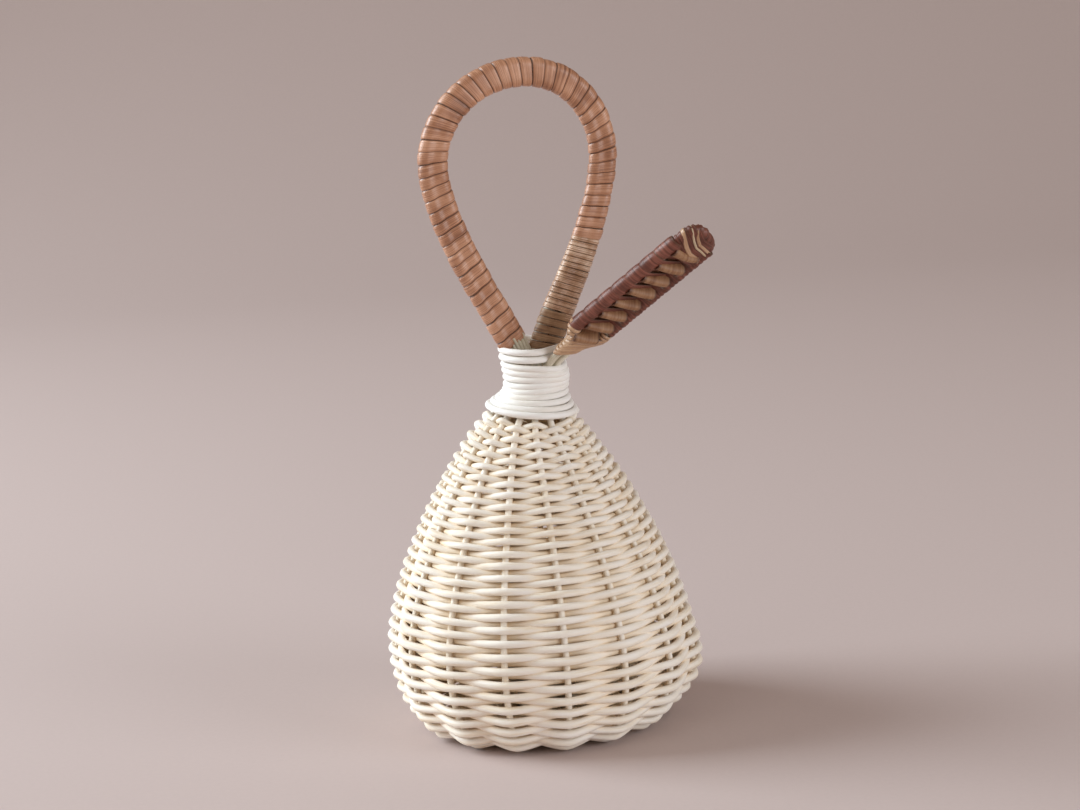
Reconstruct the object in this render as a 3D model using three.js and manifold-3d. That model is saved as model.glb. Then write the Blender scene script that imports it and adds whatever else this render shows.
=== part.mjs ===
// Rattan rattle: a pear-shaped woven body on crossed stakes, a bound neck, a wrapped finger loop,
// a laced leaf beside it and a loose bell in the hollow.
// Millimetres, +Z up; the origin is on the body's axis, on the table it stands on.

import * as THREE from 'three';
import Module from 'manifold-3d';

const wasm = await Module();
wasm.setup();

// Clearances between neighbouring pieces
const PIECE_GAP = 0.3;
const TURN_GAP = 0.42;
const WEAVE_GAP = 0.3;
const FOOT_GAP = 0.04;

// Stakes and the outline of the body, measured to the middle of the stakes
const RIB_COUNT = 15;
const RIB_RADIUS = 0.95;
const RIB_TURN = 15.3;
const FAN_RADIUS = 10.5;
const BASE_RADIUS = 27;
const BELLY_RADIUS = 37.6;
const BELLY_HEIGHT = 23;
const SHOULDER_RADIUS = 13;
const SHOULDER_HEIGHT = 78.5;
const NECK_RISE = 11.5;
const NECK_LEAN = 2.2;
const STAKE_REACH = 3;
const STAKE_SPACE = 0.4;
const STAKE_STRAIGHT = 16;

// The spiral weaver that fills the wall
const ROW_COUNT = 62;
const ROW_EASE = 0.1;
const WEAVER_LENGTHS = 8;
const WEAVER_THICKNESS = 1.4;
const ROW_GAP = 0.33;

// The binding of the neck
const NECK_TURNS = 11;
const NECK_STRAND = 1.2;

// The finger loop: two rods side by side under a flat cane wrap
const ROD_RADIUS = 1.6;
const LOOP_RADIUS = 22.2;
const LOOP_RISE = 50.2;
const LOOP_TURN = 14;
const LOOP_TANGENT = 8;
const LEG_DEPTH = 13.8;
const LEG_CLAMP = 1;
const LEG_SPREAD = 15;
const TWIST_HEIGHT = 19;
const WRAP_PITCH = 2.9;
const WRAP_THICKNESS = 0.5;
const FINE_PITCH = 1.6;
const FINE_THICKNESS = 0.4;
const FINE_RISE = 28.2;
const END_TIE_RISE = 11.2;
const END_TIE_PITCH = 2.3;

// The leaf: a bent rim rod, a lacing from side to side and a strip woven down the middle
const RIM_RADIUS = 0.9;
const LEAF_OUT = 10.3;
const LEAF_FORWARD = 7.8;
const LEAF_LIFT = 3.2;
const LEAF_LENGTH = 47.5;
const LEAF_HALF_WIDTH = 5.3;
const LEAF_RISE = 37;
const LEAF_SWING = -24.4;
const LEAF_ROLL = -45;
const LEAF_SHOULDER = 7;
const STEM_DEPTH = 9;
const STEM_LEAD = 3;
const LACE_LEAD = 1.1;
const LACE_PITCH = 5.1;
const LACE_THICKNESS = 0.4;
const LACE_NARROW_WIDTH = 1.2;
const MIDRIB_WIDTH = 1.9;
const MIDRIB_END_SPACE = 2;
const TIE_LEAD = 3.6;
const TIE_TURNS = 2.5;
const TIE_PITCH = 1.8;
const TIP_TURNS = 4;

// The jingle bell and its pellet
const BELL_RADIUS = 9;
const BELL_WALL = 0.6;
const BELL_LIP = 0.6;
const SLOT_WIDTH = 1.6;
const SLOT_HALF_LENGTH = 6.2;
const EYE_RADIUS = 2;
const EYE_WIRE = 0.55;
const PELLET_RADIUS = 2.8;

// Colours, with roughness and metalness
const CREAM = ['#ece2d0', 0.7, 0];
const WHITE = ['#f1ede4', 0.65, 0];
const PITH = ['#cbbf9f', 0.75, 0];
const PEEL = ['#bd8a68', 0.4, 0];
const FIBRE = ['#b0824f', 0.5, 0];
const DARK_PEEL = ['#5f3a30', 0.45, 0];
const TAN_PEEL = ['#bd9670', 0.45, 0];
const NICKEL = ['#b9b6b0', 0.3, 1];

const degrees = Math.PI / 180;
const UP = new THREE.Vector3(0, 0, 1);
const smooth = (x) => THREE.MathUtils.smoothstep(x, 0, 1);
const rattle = new THREE.Group();
rattle.name = 'rattan_rattle';

function add(name, geometry, [color, roughness, metalness]) {
  const mesh = new THREE.Mesh(geometry, new THREE.MeshStandardMaterial({ color, roughness, metalness }));
  mesh.name = name;
  rattle.add(mesh);
}

// A section with its flats facing out and in; u points out of the wound or woven surface
function regular(sides, radius) {
  return Array.from({ length: sides }, (_, k) => {
    const angle = (2 * Math.PI * (k + 0.5)) / sides;
    return [radius * Math.cos(angle), radius * Math.sin(angle)];
  });
}

function flat(thickness, width) {
  const u = thickness / 2;
  const v = width / 2;
  return [[u, -v], [u, v], [-u, v], [-u, -v]];
}

// One strand: a section carried along stations {point, out, wide}, closed at both ends
function strand(stations, section) {
  const count = section.length;
  const rings = stations.map((station, i) => {
    const before = stations[Math.max(i - 1, 0)].point;
    const after = stations[Math.min(i + 1, stations.length - 1)].point;
    const along = new THREE.Vector3().subVectors(after, before).normalize();
    const out = station.out.clone().addScaledVector(along, -station.out.dot(along)).normalize();
    const side = new THREE.Vector3().crossVectors(along, out);
    return section.map(([u, v]) => station.point.clone()
      .addScaledVector(out, u)
      .addScaledVector(side, v * (station.wide ?? 1)));
  });
  const index = [];
  for (let i = 0; i + 1 < rings.length; i += 1) {
    for (let j = 0; j < count; j += 1) {
      const a = i * count + j;
      const b = i * count + ((j + 1) % count);
      index.push(a, b, b + count, a, b + count, a + count);
    }
  }
  const last = (rings.length - 1) * count;
  for (let j = 1; j + 1 < count; j += 1) {
    index.push(0, j + 1, j, last, last + j, last + j + 1);
  }
  const geometry = new THREE.BufferGeometry().setFromPoints(rings.flat());
  geometry.setIndex(index);
  geometry.computeVertexNormals();
  geometry.userData.rings = rings;
  return geometry;
}

// Least distance between the corners of turns that lie next to each other
function reportGap(name, geometry, stepsPerTurn) {
  const { rings } = geometry.userData;
  let least = Infinity;
  for (let i = 0; i < rings.length; i += 1) {
    const from = i + Math.ceil(stepsPerTurn * 0.6);
    const to = Math.min(rings.length, i + Math.ceil(stepsPerTurn * 1.5));
    for (let k = from; k < to; k += 1) {
      for (const a of rings[i]) {
        for (const b of rings[k]) {
          least = Math.min(least, a.distanceTo(b));
        }
      }
    }
  }
  console.log(`${name}: least gap to itself ${least.toFixed(2)} mm`);
}

// What the neck holds: four rod ends of the loop and the two stems of the leaf between them
const rodOffset = ROD_RADIUS + PIECE_GAP / 2;
const legOffset = ROD_RADIUS + PIECE_GAP + RIM_RADIUS;
const bundleRadius = Math.hypot(rodOffset, legOffset) + ROD_RADIUS;
const neckRadius = bundleRadius + PIECE_GAP + RIB_RADIUS;

// Zigzag of the weaver: its offset from the stakes grows where they stand closer together
const ribStep = (2 * Math.PI) / RIB_COUNT;
function weaveOffset(radius) {
  let offset = RIB_RADIUS + WEAVE_GAP + WEAVER_THICKNESS / 2;
  for (let pass = 0; pass < 12; pass += 1) {
    const slope = Math.hypot(1, (2 * offset) / (radius * ribStep));
    offset = WEAVER_THICKNESS / 2 + (RIB_RADIUS + WEAVE_GAP) * slope;
  }
  return offset;
}

// Half outline of the body through the middle of the stakes, from the base out and up to the neck
const baseLevel = weaveOffset(BASE_RADIUS) + WEAVER_THICKNESS / 2 + FOOT_GAP;
const neckHeight = SHOULDER_HEIGHT + NECK_RISE;
const outline = new THREE.Path();
outline.moveTo(FAN_RADIUS, weaveOffset(FAN_RADIUS) + WEAVER_THICKNESS / 2);
outline.lineTo(BASE_RADIUS, baseLevel);
outline.bezierCurveTo(
  BASE_RADIUS + 0.56 * (BELLY_RADIUS - BASE_RADIUS), baseLevel,
  BELLY_RADIUS, 0.52 * BELLY_HEIGHT,
  BELLY_RADIUS, BELLY_HEIGHT,
);
const flank = SHOULDER_HEIGHT - BELLY_HEIGHT;
const slope = BELLY_RADIUS - SHOULDER_RADIUS;
outline.bezierCurveTo(
  BELLY_RADIUS, BELLY_HEIGHT + 0.34 * flank,
  SHOULDER_RADIUS + 0.26 * slope, SHOULDER_HEIGHT - 0.144 * flank,
  SHOULDER_RADIUS, SHOULDER_HEIGHT,
);
const shoulderLength = outline.getLength();
outline.bezierCurveTo(
  SHOULDER_RADIUS - 0.13 * slope, SHOULDER_HEIGHT + 0.072 * flank,
  neckRadius, neckHeight - 0.38 * NECK_RISE,
  neckRadius, neckHeight,
);
const neckLength = outline.getLength();

function neckShift(height) {
  return NECK_LEAN * smooth((height - SHOULDER_HEIGHT) / (1.4 * NECK_RISE));
}

// A point of the wall at a length along the outline, an angle round it and an offset outwards
function onWall(length, angle, offset) {
  const u = Math.min(length / neckLength, 1);
  const middle = outline.getPointAt(u);
  const along = outline.getTangentAt(u);
  const radius = middle.x + along.y * offset;
  const height = middle.y - along.x * offset + Math.max(length - neckLength, 0);
  return {
    point: new THREE.Vector3(
      radius * Math.cos(angle) + neckShift(height),
      radius * Math.sin(angle),
      height,
    ),
    out: new THREE.Vector3(along.y * Math.cos(angle), along.y * Math.sin(angle), -along.x),
    radius: middle.x,
  };
}

const ribAngle = (k) => RIB_TURN * degrees + k * ribStep;

// The rows lie closer towards the neck, and end where its binding begins
const rowStart = WEAVER_THICKNESS;
const rowSpan = shoulderLength - rowStart;
const rowLength = (share) => rowStart + rowSpan * (share + ROW_EASE * share * (1 - share));
const weaverWidth = (share) => (rowSpan / ROW_COUNT) * (1 + ROW_EASE * (1 - 2 * share)) - ROW_GAP;
const bindingStart = shoulderLength + weaverWidth(1) / 2 + PIECE_GAP + NECK_STRAND / 2;
const bindingPitch = NECK_STRAND + TURN_GAP;
const bindingSteps = 18;

// The binding lies on the stakes, far enough out for its chords to clear them
function bindingOffset(length) {
  const { radius } = onWall(length, 0, 0);
  return (radius + RIB_RADIUS + PIECE_GAP) / Math.cos(Math.PI / bindingSteps) - radius + NECK_STRAND / 2;
}

const bindingLengths = [bindingStart];
for (let i = 0; i < NECK_TURNS * bindingSteps; i += 1) {
  const length = bindingLengths[i];
  const place = (step) => onWall(length + step, 0, bindingOffset(length)).point;
  const stretch = place(0.5).distanceTo(place(-0.5));
  bindingLengths.push(length + bindingPitch / bindingSteps / stretch);
}
const bindingEnd = bindingLengths[NECK_TURNS * bindingSteps];
const neckTop = onWall(bindingEnd, 0, 0).point.z;
const stakeEnd = bindingEnd - STAKE_REACH;

// Fifteen ribs from eight stakes: three below, five above them at right angles, the fifth a half one
const slathPitch = 2 * RIB_RADIUS + STAKE_SPACE;
const slathHalf = 2 * slathPitch + RIB_RADIUS + PIECE_GAP;
const lowLevel = RIB_RADIUS * Math.cos(Math.PI / 4);
const highLevel = lowLevel + 2 * RIB_RADIUS + PIECE_GAP;

// A rib has a station wherever the outline has turned a little or run straight for a while
const ribLengths = [0];
for (let length = RIB_RADIUS / 2; length < stakeEnd - RIB_RADIUS; length += RIB_RADIUS / 2) {
  const before = ribLengths[ribLengths.length - 1];
  const turned = onWall(length, 0, 0).out.angleTo(onWall(before, 0, 0).out);
  if (turned > 10 * degrees || length - before > STAKE_STRAIGHT) {
    ribLengths.push(length);
  }
}
ribLengths.push(stakeEnd);

function rib(k) {
  return ribLengths.map((length) => onWall(length, ribAngle(k), 0));
}

function crossing(along, across, level, high) {
  const [x, y] = high ? [across, along] : [along, across];
  const point = new THREE.Vector3(x, y, level).applyAxisAngle(UP, RIB_TURN * degrees);
  return { point, out: new THREE.Vector3(0, 0, -1) };
}

function stake(name, first, second, across, high) {
  const level = high ? highLevel : lowLevel;
  const flatHalf = slathHalf - RIB_RADIUS;
  const middle = [slathHalf, flatHalf, -flatHalf, -slathHalf]
    .map((along) => crossing(along, across, level, high));
  const start = first === null ? [] : rib(first).reverse();
  add(name, strand([...start, ...middle, ...rib(second)], regular(4, RIB_RADIUS)), CREAM);
}

stake('stake_lower_1', 14, 8, -slathPitch, false);
stake('stake_lower_2', 0, 7, 0, false);
stake('stake_lower_3', 1, 6, slathPitch, false);
stake('stake_upper_1', 2, 13, 2 * slathPitch, true);
stake('stake_upper_2', 3, 12, slathPitch, true);
stake('stake_upper_3', 4, 11, 0, true);
stake('stake_upper_4', 5, 10, -slathPitch, true);
stake('stake_upper_half', null, 9, -2 * slathPitch, true);

// The weaver passes in front of one stake and behind the next; an odd count alternates the rows
function weaverStation(count) {
  const share = count / (ROW_COUNT * RIB_COUNT);
  const length = rowLength(share);
  const side = (k) => (k % 2 === 0 ? -1 : 1);
  const low = Math.floor(count);
  const part = count - low;
  const swing = side(low) * (1 - part) + side(low + 1) * part;
  const { radius } = onWall(length, 0, 0);
  const station = onWall(length, RIB_TURN * degrees + count * ribStep, swing * weaveOffset(radius));
  return { ...station, wide: weaverWidth(share) };
}

const crossings = ROW_COUNT * RIB_COUNT;
const splice = (j) => 2 * Math.round((crossings * j) / WEAVER_LENGTHS / 2);
for (let j = 0; j < WEAVER_LENGTHS; j += 1) {
  const from = splice(j);
  const to = splice(j + 1);
  const stations = [weaverStation(from + 0.04)];
  for (let count = from + 1; count < to; count += 1) {
    stations.push(weaverStation(count));
  }
  stations.push(weaverStation(to - 0.04));
  add(`weaver_${j + 1}`, strand(stations, flat(WEAVER_THICKNESS, 1)), CREAM);
}

const bindingStations = bindingLengths.map((length, i) => {
  const angle = RIB_TURN * degrees + (i / bindingSteps) * 2 * Math.PI;
  return onWall(length, angle, bindingOffset(length));
});
const binding = strand(bindingStations, regular(5, NECK_STRAND / 2));
reportGap('neck_binding', binding, bindingSteps);
add('neck_binding', binding, WHITE);

// Middle line of the loop in its own plane: up one leg, over the top and down the other
const loopBeta = LOOP_TANGENT * degrees;
const loopSide = LOOP_RADIUS * Math.cos(loopBeta);
const loopCentre = neckTop + LOOP_RISE;
const loopLow = loopCentre - LOOP_RADIUS * Math.sin(loopBeta);
const legPull = 0.39 * (loopLow - neckTop);
const legTop = neckTop - LEG_CLAMP;
const legFoot = neckTop - LEG_DEPTH;
const legLean = LEG_SPREAD * degrees;
const footPull = 0.22 * (loopLow - neckTop);
const loop = new THREE.Path();
loop.moveTo(-legOffset, legFoot);
loop.lineTo(-legOffset, legTop);
loop.bezierCurveTo(
  -legOffset - footPull * Math.sin(legLean), legTop + footPull * Math.cos(legLean),
  -loopSide + legPull * Math.sin(loopBeta), loopLow - legPull * Math.cos(loopBeta),
  -loopSide, loopLow,
);
loop.absarc(0, loopCentre, LOOP_RADIUS, Math.PI + loopBeta, -loopBeta, true);
loop.bezierCurveTo(
  loopSide - legPull * Math.sin(loopBeta), loopLow - legPull * Math.cos(loopBeta),
  legOffset + footPull * Math.sin(legLean), legTop + footPull * Math.cos(legLean),
  legOffset, legTop,
);
loop.lineTo(legOffset, legFoot);
const loopLength = loop.getLength();
const acrossLoop = new THREE.Vector3(-Math.sin(LOOP_TURN * degrees), Math.cos(LOOP_TURN * degrees), 0);
const inLoop = new THREE.Vector3(Math.cos(LOOP_TURN * degrees), Math.sin(LOOP_TURN * degrees), 0);

// The two rods stand one behind the other in the neck and lie side by side above it
function onLoop(length) {
  const u = THREE.MathUtils.clamp(length / loopLength, 0, 1);
  const flatPoint = loop.getPointAt(u);
  const flatAlong = loop.getTangentAt(u);
  const point = inLoop.clone().multiplyScalar(flatPoint.x);
  point.z = flatPoint.y;
  point.x += neckShift(flatPoint.y);
  const along = inLoop.clone().multiplyScalar(flatAlong.x);
  along.z = flatAlong.y;
  const outward = inLoop.clone().multiplyScalar(-flatAlong.y);
  outward.z = flatAlong.x;
  const turn = (Math.PI / 2) * (1 - smooth((flatPoint.y - neckTop) / TWIST_HEIGHT));
  const pair = outward.clone().multiplyScalar(Math.cos(turn)).addScaledVector(acrossLoop, -Math.sin(turn));
  const cross = outward.clone().multiplyScalar(Math.sin(turn)).addScaledVector(acrossLoop, Math.cos(turn));
  return { point, along, pair, cross, height: flatPoint.y };
}

function loopLengthAt(height, rightLeg) {
  let near = rightLeg ? loopLength / 2 : 0;
  let far = rightLeg ? loopLength : loopLength / 2;
  for (let pass = 0; pass < 40; pass += 1) {
    const middle = (near + far) / 2;
    if ((onLoop(middle).height < height) === rightLeg) {
      far = middle;
    } else {
      near = middle;
    }
  }
  return (near + far) / 2;
}

const rodSteps = 30;
const rodLengths = Array.from({ length: rodSteps + 1 }, (_, i) => (loopLength * i) / rodSteps);
const twistSteps = 5;
for (let i = 0; i <= twistSteps; i += 1) {
  const height = neckTop + (TWIST_HEIGHT * i) / twistSteps;
  rodLengths.push(loopLengthAt(height, false), loopLengthAt(height, true));
}
rodLengths.sort((a, b) => a - b);
for (const [name, sign] of [['handle_rod_outer', 1], ['handle_rod_inner', -1]]) {
  const stations = rodLengths.map((length) => {
    const { point, pair } = onLoop(length);
    return { point: point.addScaledVector(pair, sign * rodOffset), out: acrossLoop };
  });
  add(name, strand(stations, regular(6, ROD_RADIUS)), PITH);
}

// A flat strip wound round the rod pair; its width follows the room between turns at each side of a bend
function wrap(name, from, to, pitch, thickness, material) {
  const stepsPerTurn = 8;
  const turns = Math.floor((to - from) / pitch);
  const radius = (ROD_RADIUS + PIECE_GAP + thickness / 2) / Math.cos(Math.PI / stepsPerTurn);
  const stations = [];
  for (let i = 0; i <= turns * stepsPerTurn; i += 1) {
    const length = from + (pitch * i) / stepsPerTurn;
    const { point, along, pair, cross } = onLoop(length);
    const angle = (-(i + 0.5) * 2 * Math.PI) / stepsPerTurn;
    const reach = Math.sign(Math.cos(angle)) * rodOffset + radius * Math.cos(angle);
    const out = pair.clone().multiplyScalar(Math.cos(angle)).addScaledVector(cross, Math.sin(angle));
    const place = (step) => {
      const frame = onLoop(length + step);
      return frame.point.addScaledVector(frame.pair, reach)
        .addScaledVector(frame.cross, radius * Math.sin(angle));
    };
    const room = place(pitch / 2).sub(place(-pitch / 2)).dot(along);
    stations.push({
      point: point.addScaledVector(pair, reach).addScaledVector(cross, radius * Math.sin(angle)),
      out,
      wide: (room - TURN_GAP) / (pitch - TURN_GAP),
    });
  }
  const geometry = strand(stations, flat(thickness, pitch - TURN_GAP));
  reportGap(name, geometry, stepsPerTurn);
  add(name, geometry, material);
}

const wrapFoot = neckTop + NECK_STRAND / 2 + WRAP_PITCH;
const fineStart = loopLengthAt(neckTop + FINE_RISE, true);
wrap('handle_wrap', loopLengthAt(wrapFoot, false), fineStart - WRAP_PITCH, WRAP_PITCH, WRAP_THICKNESS, PEEL);
const endTieStart = loopLengthAt(neckTop + END_TIE_RISE, true);
wrap('handle_leg_wrap', fineStart, endTieStart - FINE_PITCH, FINE_PITCH, FINE_THICKNESS, FIBRE);
wrap('handle_end_tie', endTieStart, loopLengthAt(wrapFoot, true), END_TIE_PITCH, FINE_THICKNESS, PEEL);

// Axes of the leaf: along it, across it from the far rod to the near one, and out of its visible face
const leafAlong = new THREE.Vector3(
  Math.cos(LEAF_RISE * degrees) * Math.cos(LEAF_SWING * degrees),
  Math.cos(LEAF_RISE * degrees) * Math.sin(LEAF_SWING * degrees),
  Math.sin(LEAF_RISE * degrees),
);
const leafAcross = new THREE.Vector3().crossVectors(leafAlong, UP).normalize();
leafAcross.applyAxisAngle(leafAlong, LEAF_ROLL * degrees);
const leafFace = new THREE.Vector3().crossVectors(leafAlong, leafAcross);
const leafBase = new THREE.Vector3(NECK_LEAN + LEAF_OUT, -LEAF_FORWARD, neckTop + LEAF_LIFT);

function onLeaf(along, across, face) {
  return leafBase.clone()
    .addScaledVector(leafAlong, along)
    .addScaledVector(leafAcross, across)
    .addScaledVector(leafFace, face);
}

// The rim rod leaves the neck, runs round the leaf and goes back into the neck
const stemGap = RIM_RADIUS + PIECE_GAP / 2;
const leafTip = LEAF_LENGTH - LEAF_HALF_WIDTH;
const rimOutline = new THREE.Path();
rimOutline.moveTo(0, stemGap);
rimOutline.bezierCurveTo(
  0.5 * LEAF_SHOULDER, stemGap,
  0.6 * LEAF_SHOULDER, LEAF_HALF_WIDTH,
  LEAF_SHOULDER, LEAF_HALF_WIDTH,
);
rimOutline.lineTo(leafTip, LEAF_HALF_WIDTH);
rimOutline.absarc(leafTip, 0, LEAF_HALF_WIDTH, Math.PI / 2, -Math.PI / 2, true);
rimOutline.lineTo(LEAF_SHOULDER, -LEAF_HALF_WIDTH);
rimOutline.bezierCurveTo(
  0.6 * LEAF_SHOULDER, -LEAF_HALF_WIDTH,
  0.5 * LEAF_SHOULDER, -stemGap,
  0, -stemGap,
);

function stem(depth, across) {
  const neckPoint = (height) => acrossLoop.clone().multiplyScalar(-depth)
    .add(new THREE.Vector3(neckShift(height), 0, height));
  const curve = new THREE.CatmullRomCurve3([
    neckPoint(neckTop - STEM_DEPTH),
    neckPoint(neckTop - LEG_CLAMP),
    neckPoint(neckTop).lerp(onLeaf(0, across, 0), 0.3).addScaledVector(acrossLoop, -RIM_RADIUS)
      .setZ(neckTop + 0.62 * LEAF_LIFT),
    onLeaf(-STEM_LEAD, across, 0),
    onLeaf(0, across, 0),
  ], false, 'centripetal');
  return curve.getPoints(10).slice(0, -1);
}

const nearStem = bundleRadius - RIM_RADIUS;
const farStem = nearStem - 2 * RIM_RADIUS - PIECE_GAP;
const rimPoints = [
  ...stem(nearStem, stemGap),
  ...rimOutline.getPoints(8).map((spot) => onLeaf(spot.x, spot.y, 0)),
  ...stem(farStem, -stemGap).reverse(),
];
const rimStations = rimPoints.map((point) => ({ point, out: leafFace }));
add('leaf_rim', strand(rimStations, regular(6, RIM_RADIUS)), PITH);

// The lacing crosses from the top of one rod to the underside of the other, in a figure of eight
const laceSwing = 115 * degrees;
const laceSteps = 4;
const laceChord = Math.cos(laceSwing / laceSteps);
const laceRadius = (RIM_RADIUS + PIECE_GAP + LACE_THICKNESS / 2) / laceChord;
const laceWide = LACE_PITCH - TURN_GAP;
const laceStart = LEAF_SHOULDER - LACE_LEAD;
const laceTurns = Math.floor((leafTip - laceStart) / LACE_PITCH);
const laceStations = [];
for (let half = 0; half < 2 * laceTurns; half += 1) {
  const side = half % 2 === 0 ? 1 : -1;
  for (let i = 0; i <= laceSteps; i += 1) {
    const angle = laceSwing * ((2 * i) / laceSteps - 1);
    const along = laceStart + LACE_PITCH * (half / 2 + 0.2 * (i / laceSteps));
    const across = side * (LEAF_HALF_WIDTH + laceRadius * Math.cos(angle));
    const face = laceRadius * Math.sin(angle);
    const spread = 1 - Math.abs((2 * i) / laceSteps - 1);
    laceStations.push({
      point: onLeaf(along, across, face),
      out: leafAcross.clone().multiplyScalar(Math.cos(angle))
        .addScaledVector(leafFace, side * Math.sin(angle)),
      wide: 1 + (laceWide / LACE_NARROW_WIDTH - 1) * spread,
    });
  }
}
const lacing = strand(laceStations, flat(LACE_THICKNESS, LACE_NARROW_WIDTH));
reportGap('leaf_lacing', lacing, 2 * (laceSteps + 1));
add('leaf_lacing', lacing, DARK_PEEL);

// The middle strip goes over one crossing of the lacing and under the next
const laceSlope = (laceRadius * Math.sin(laceSwing)) / (LEAF_HALF_WIDTH + laceRadius * Math.cos(laceSwing));
const midribOffset = LACE_THICKNESS + 1.5 * PIECE_GAP + (laceSlope * MIDRIB_WIDTH) / 2;
const midribStations = [{ point: onLeaf(0.55 * LEAF_SHOULDER, 0, 0), out: leafFace }];
for (let half = 0; half < 2 * laceTurns; half += 1) {
  const along = laceStart + LACE_PITCH * (half / 2 + 0.35);
  const face = half % 2 === 0 ? midribOffset : -midribOffset;
  for (const end of [-0.5, 0.5]) {
    midribStations.push({ point: onLeaf(along + end * LACE_NARROW_WIDTH, 0, face), out: leafFace });
  }
}
const midribEnd = LEAF_LENGTH - RIM_RADIUS - PIECE_GAP - MIDRIB_END_SPACE;
midribStations.push({ point: onLeaf(midribEnd, 0, 0), out: leafFace });
add('leaf_midrib', strand(midribStations, flat(LACE_THICKNESS, MIDRIB_WIDTH)), TAN_PEEL);

// The tie holds both stems together below the leaf
const tieSteps = 8;
const tieRadius = (RIM_RADIUS + PIECE_GAP + LACE_THICKNESS / 2) / Math.cos(Math.PI / tieSteps);
const tieStations = [];
for (let i = 0; i <= TIE_TURNS * tieSteps; i += 1) {
  const along = -TIE_LEAD + (TIE_PITCH * i) / tieSteps;
  const angle = ((i + 0.5) * 2 * Math.PI) / tieSteps;
  const open = along < 0 ? stemGap : rimOutline.getPointAt(along / rimOutline.getLength()).y;
  const across = Math.sign(Math.cos(angle)) * open + tieRadius * Math.cos(angle);
  tieStations.push({
    point: onLeaf(along, across, tieRadius * Math.sin(angle)),
    out: leafAcross.clone().multiplyScalar(Math.cos(angle)).addScaledVector(leafFace, Math.sin(angle)),
  });
}
const tie = strand(tieStations, flat(LACE_THICKNESS, TIE_PITCH - TURN_GAP));
reportGap('leaf_tie', tie, tieSteps);
add('leaf_tie', tie, TAN_PEEL);

// A few turns cover the bend of the rim at the tip
const tipStations = [];
const tipSteps = 8;
for (let i = 0; i <= TIP_TURNS * tipSteps; i += 1) {
  const bend = (i / (TIP_TURNS * tipSteps) - 0.5) * 120 * degrees;
  const angle = (i * 2 * Math.PI) / tipSteps;
  const middle = LEAF_HALF_WIDTH + tieRadius * Math.cos(angle);
  const outward = leafAlong.clone().multiplyScalar(Math.cos(bend))
    .addScaledVector(leafAcross, -Math.sin(bend));
  tipStations.push({
    point: onLeaf(leafTip + middle * Math.cos(bend), -middle * Math.sin(bend), tieRadius * Math.sin(angle)),
    out: outward.multiplyScalar(Math.cos(angle)).addScaledVector(leafFace, Math.sin(angle)),
    wide: middle / LEAF_HALF_WIDTH,
  });
}
const tipPitch = (LEAF_HALF_WIDTH * 120 * degrees) / TIP_TURNS;
const tip = strand(tipStations, flat(LACE_THICKNESS, tipPitch - 2 * TURN_GAP));
reportGap('leaf_tip_binding', tip, tipSteps);
add('leaf_tip_binding', tip, DARK_PEEL);

// The bell lies in the hollow on the crossed stakes: two pressed cups, the lower one slotted
const bellCentre = highLevel + RIB_RADIUS + PIECE_GAP + BELL_RADIUS;
const cupSteps = 5;
const bellSegments = 14;

function cup(sign) {
  const arc = (radius, from, to) => Array.from({ length: cupSteps + 1 }, (_, i) => {
    const angle = (from + ((to - from) * i) / cupSteps) * (Math.PI / 2);
    return new THREE.Vector2(radius * Math.cos(angle), sign * radius * Math.sin(angle));
  });
  const rim = sign * (PIECE_GAP / 2);
  const outer = arc(BELL_RADIUS, 1, 0.08);
  const inner = arc(BELL_RADIUS - BELL_WALL, 0.08, 1);
  outer[0].x = 0;
  inner[cupSteps].x = 0;
  const profile = [
    ...outer,
    new THREE.Vector2(BELL_RADIUS + BELL_LIP, outer[cupSteps].y),
    new THREE.Vector2(BELL_RADIUS + BELL_LIP, rim),
    new THREE.Vector2(BELL_RADIUS - BELL_WALL, rim),
    ...inner,
  ];
  if (sign > 0) {
    profile.reverse();
  }
  return new THREE.LatheGeometry(profile, bellSegments).rotateX(Math.PI / 2);
}

function toManifold(geometry) {
  const points = geometry.attributes.position;
  const mesh = new wasm.Mesh({
    numProp: 3,
    vertProperties: Float32Array.from(points.array),
    triVerts: Uint32Array.from(geometry.index.array),
  });
  mesh.merge();
  return new wasm.Manifold(mesh);
}

function fromManifold(solid) {
  const mesh = solid.getMesh();
  const geometry = new THREE.BufferGeometry();
  geometry.setAttribute('position', new THREE.BufferAttribute(mesh.vertProperties, 3));
  geometry.setIndex(new THREE.BufferAttribute(mesh.triVerts, 1));
  geometry.computeVertexNormals();
  return geometry;
}

let lowerCup = toManifold(cup(-1));
for (const quarter of [0, Math.PI / 2]) {
  const slot = new THREE.BoxGeometry(2 * SLOT_HALF_LENGTH, SLOT_WIDTH, BELL_RADIUS)
    .translate(0, 0, -BELL_RADIUS)
    .rotateZ(quarter + 45 * degrees);
  lowerCup = lowerCup.subtract(toManifold(slot));
}
add('bell_lower_cup', fromManifold(lowerCup).translate(0, 0, bellCentre), NICKEL);
add('bell_upper_cup', fromManifold(toManifold(cup(1))).translate(0, 0, bellCentre), NICKEL);
const eye = new THREE.TorusGeometry(EYE_RADIUS, EYE_WIRE, 6, 14).rotateX(Math.PI / 2)
  .translate(0, 0, bellCentre + BELL_RADIUS + PIECE_GAP + EYE_RADIUS + EYE_WIRE);
add('bell_eye', eye, NICKEL);
const pellet = new THREE.SphereGeometry(PELLET_RADIUS, 12, 8).rotateX(Math.PI / 2)
  .translate(0, 0, bellCentre - (BELL_RADIUS - BELL_WALL) + PIECE_GAP + PELLET_RADIUS);
add('bell_pellet', pellet, NICKEL);

export default rattle;
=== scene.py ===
import math

import bpy
import numpy as np
from mathutils import Matrix, Vector


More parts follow.
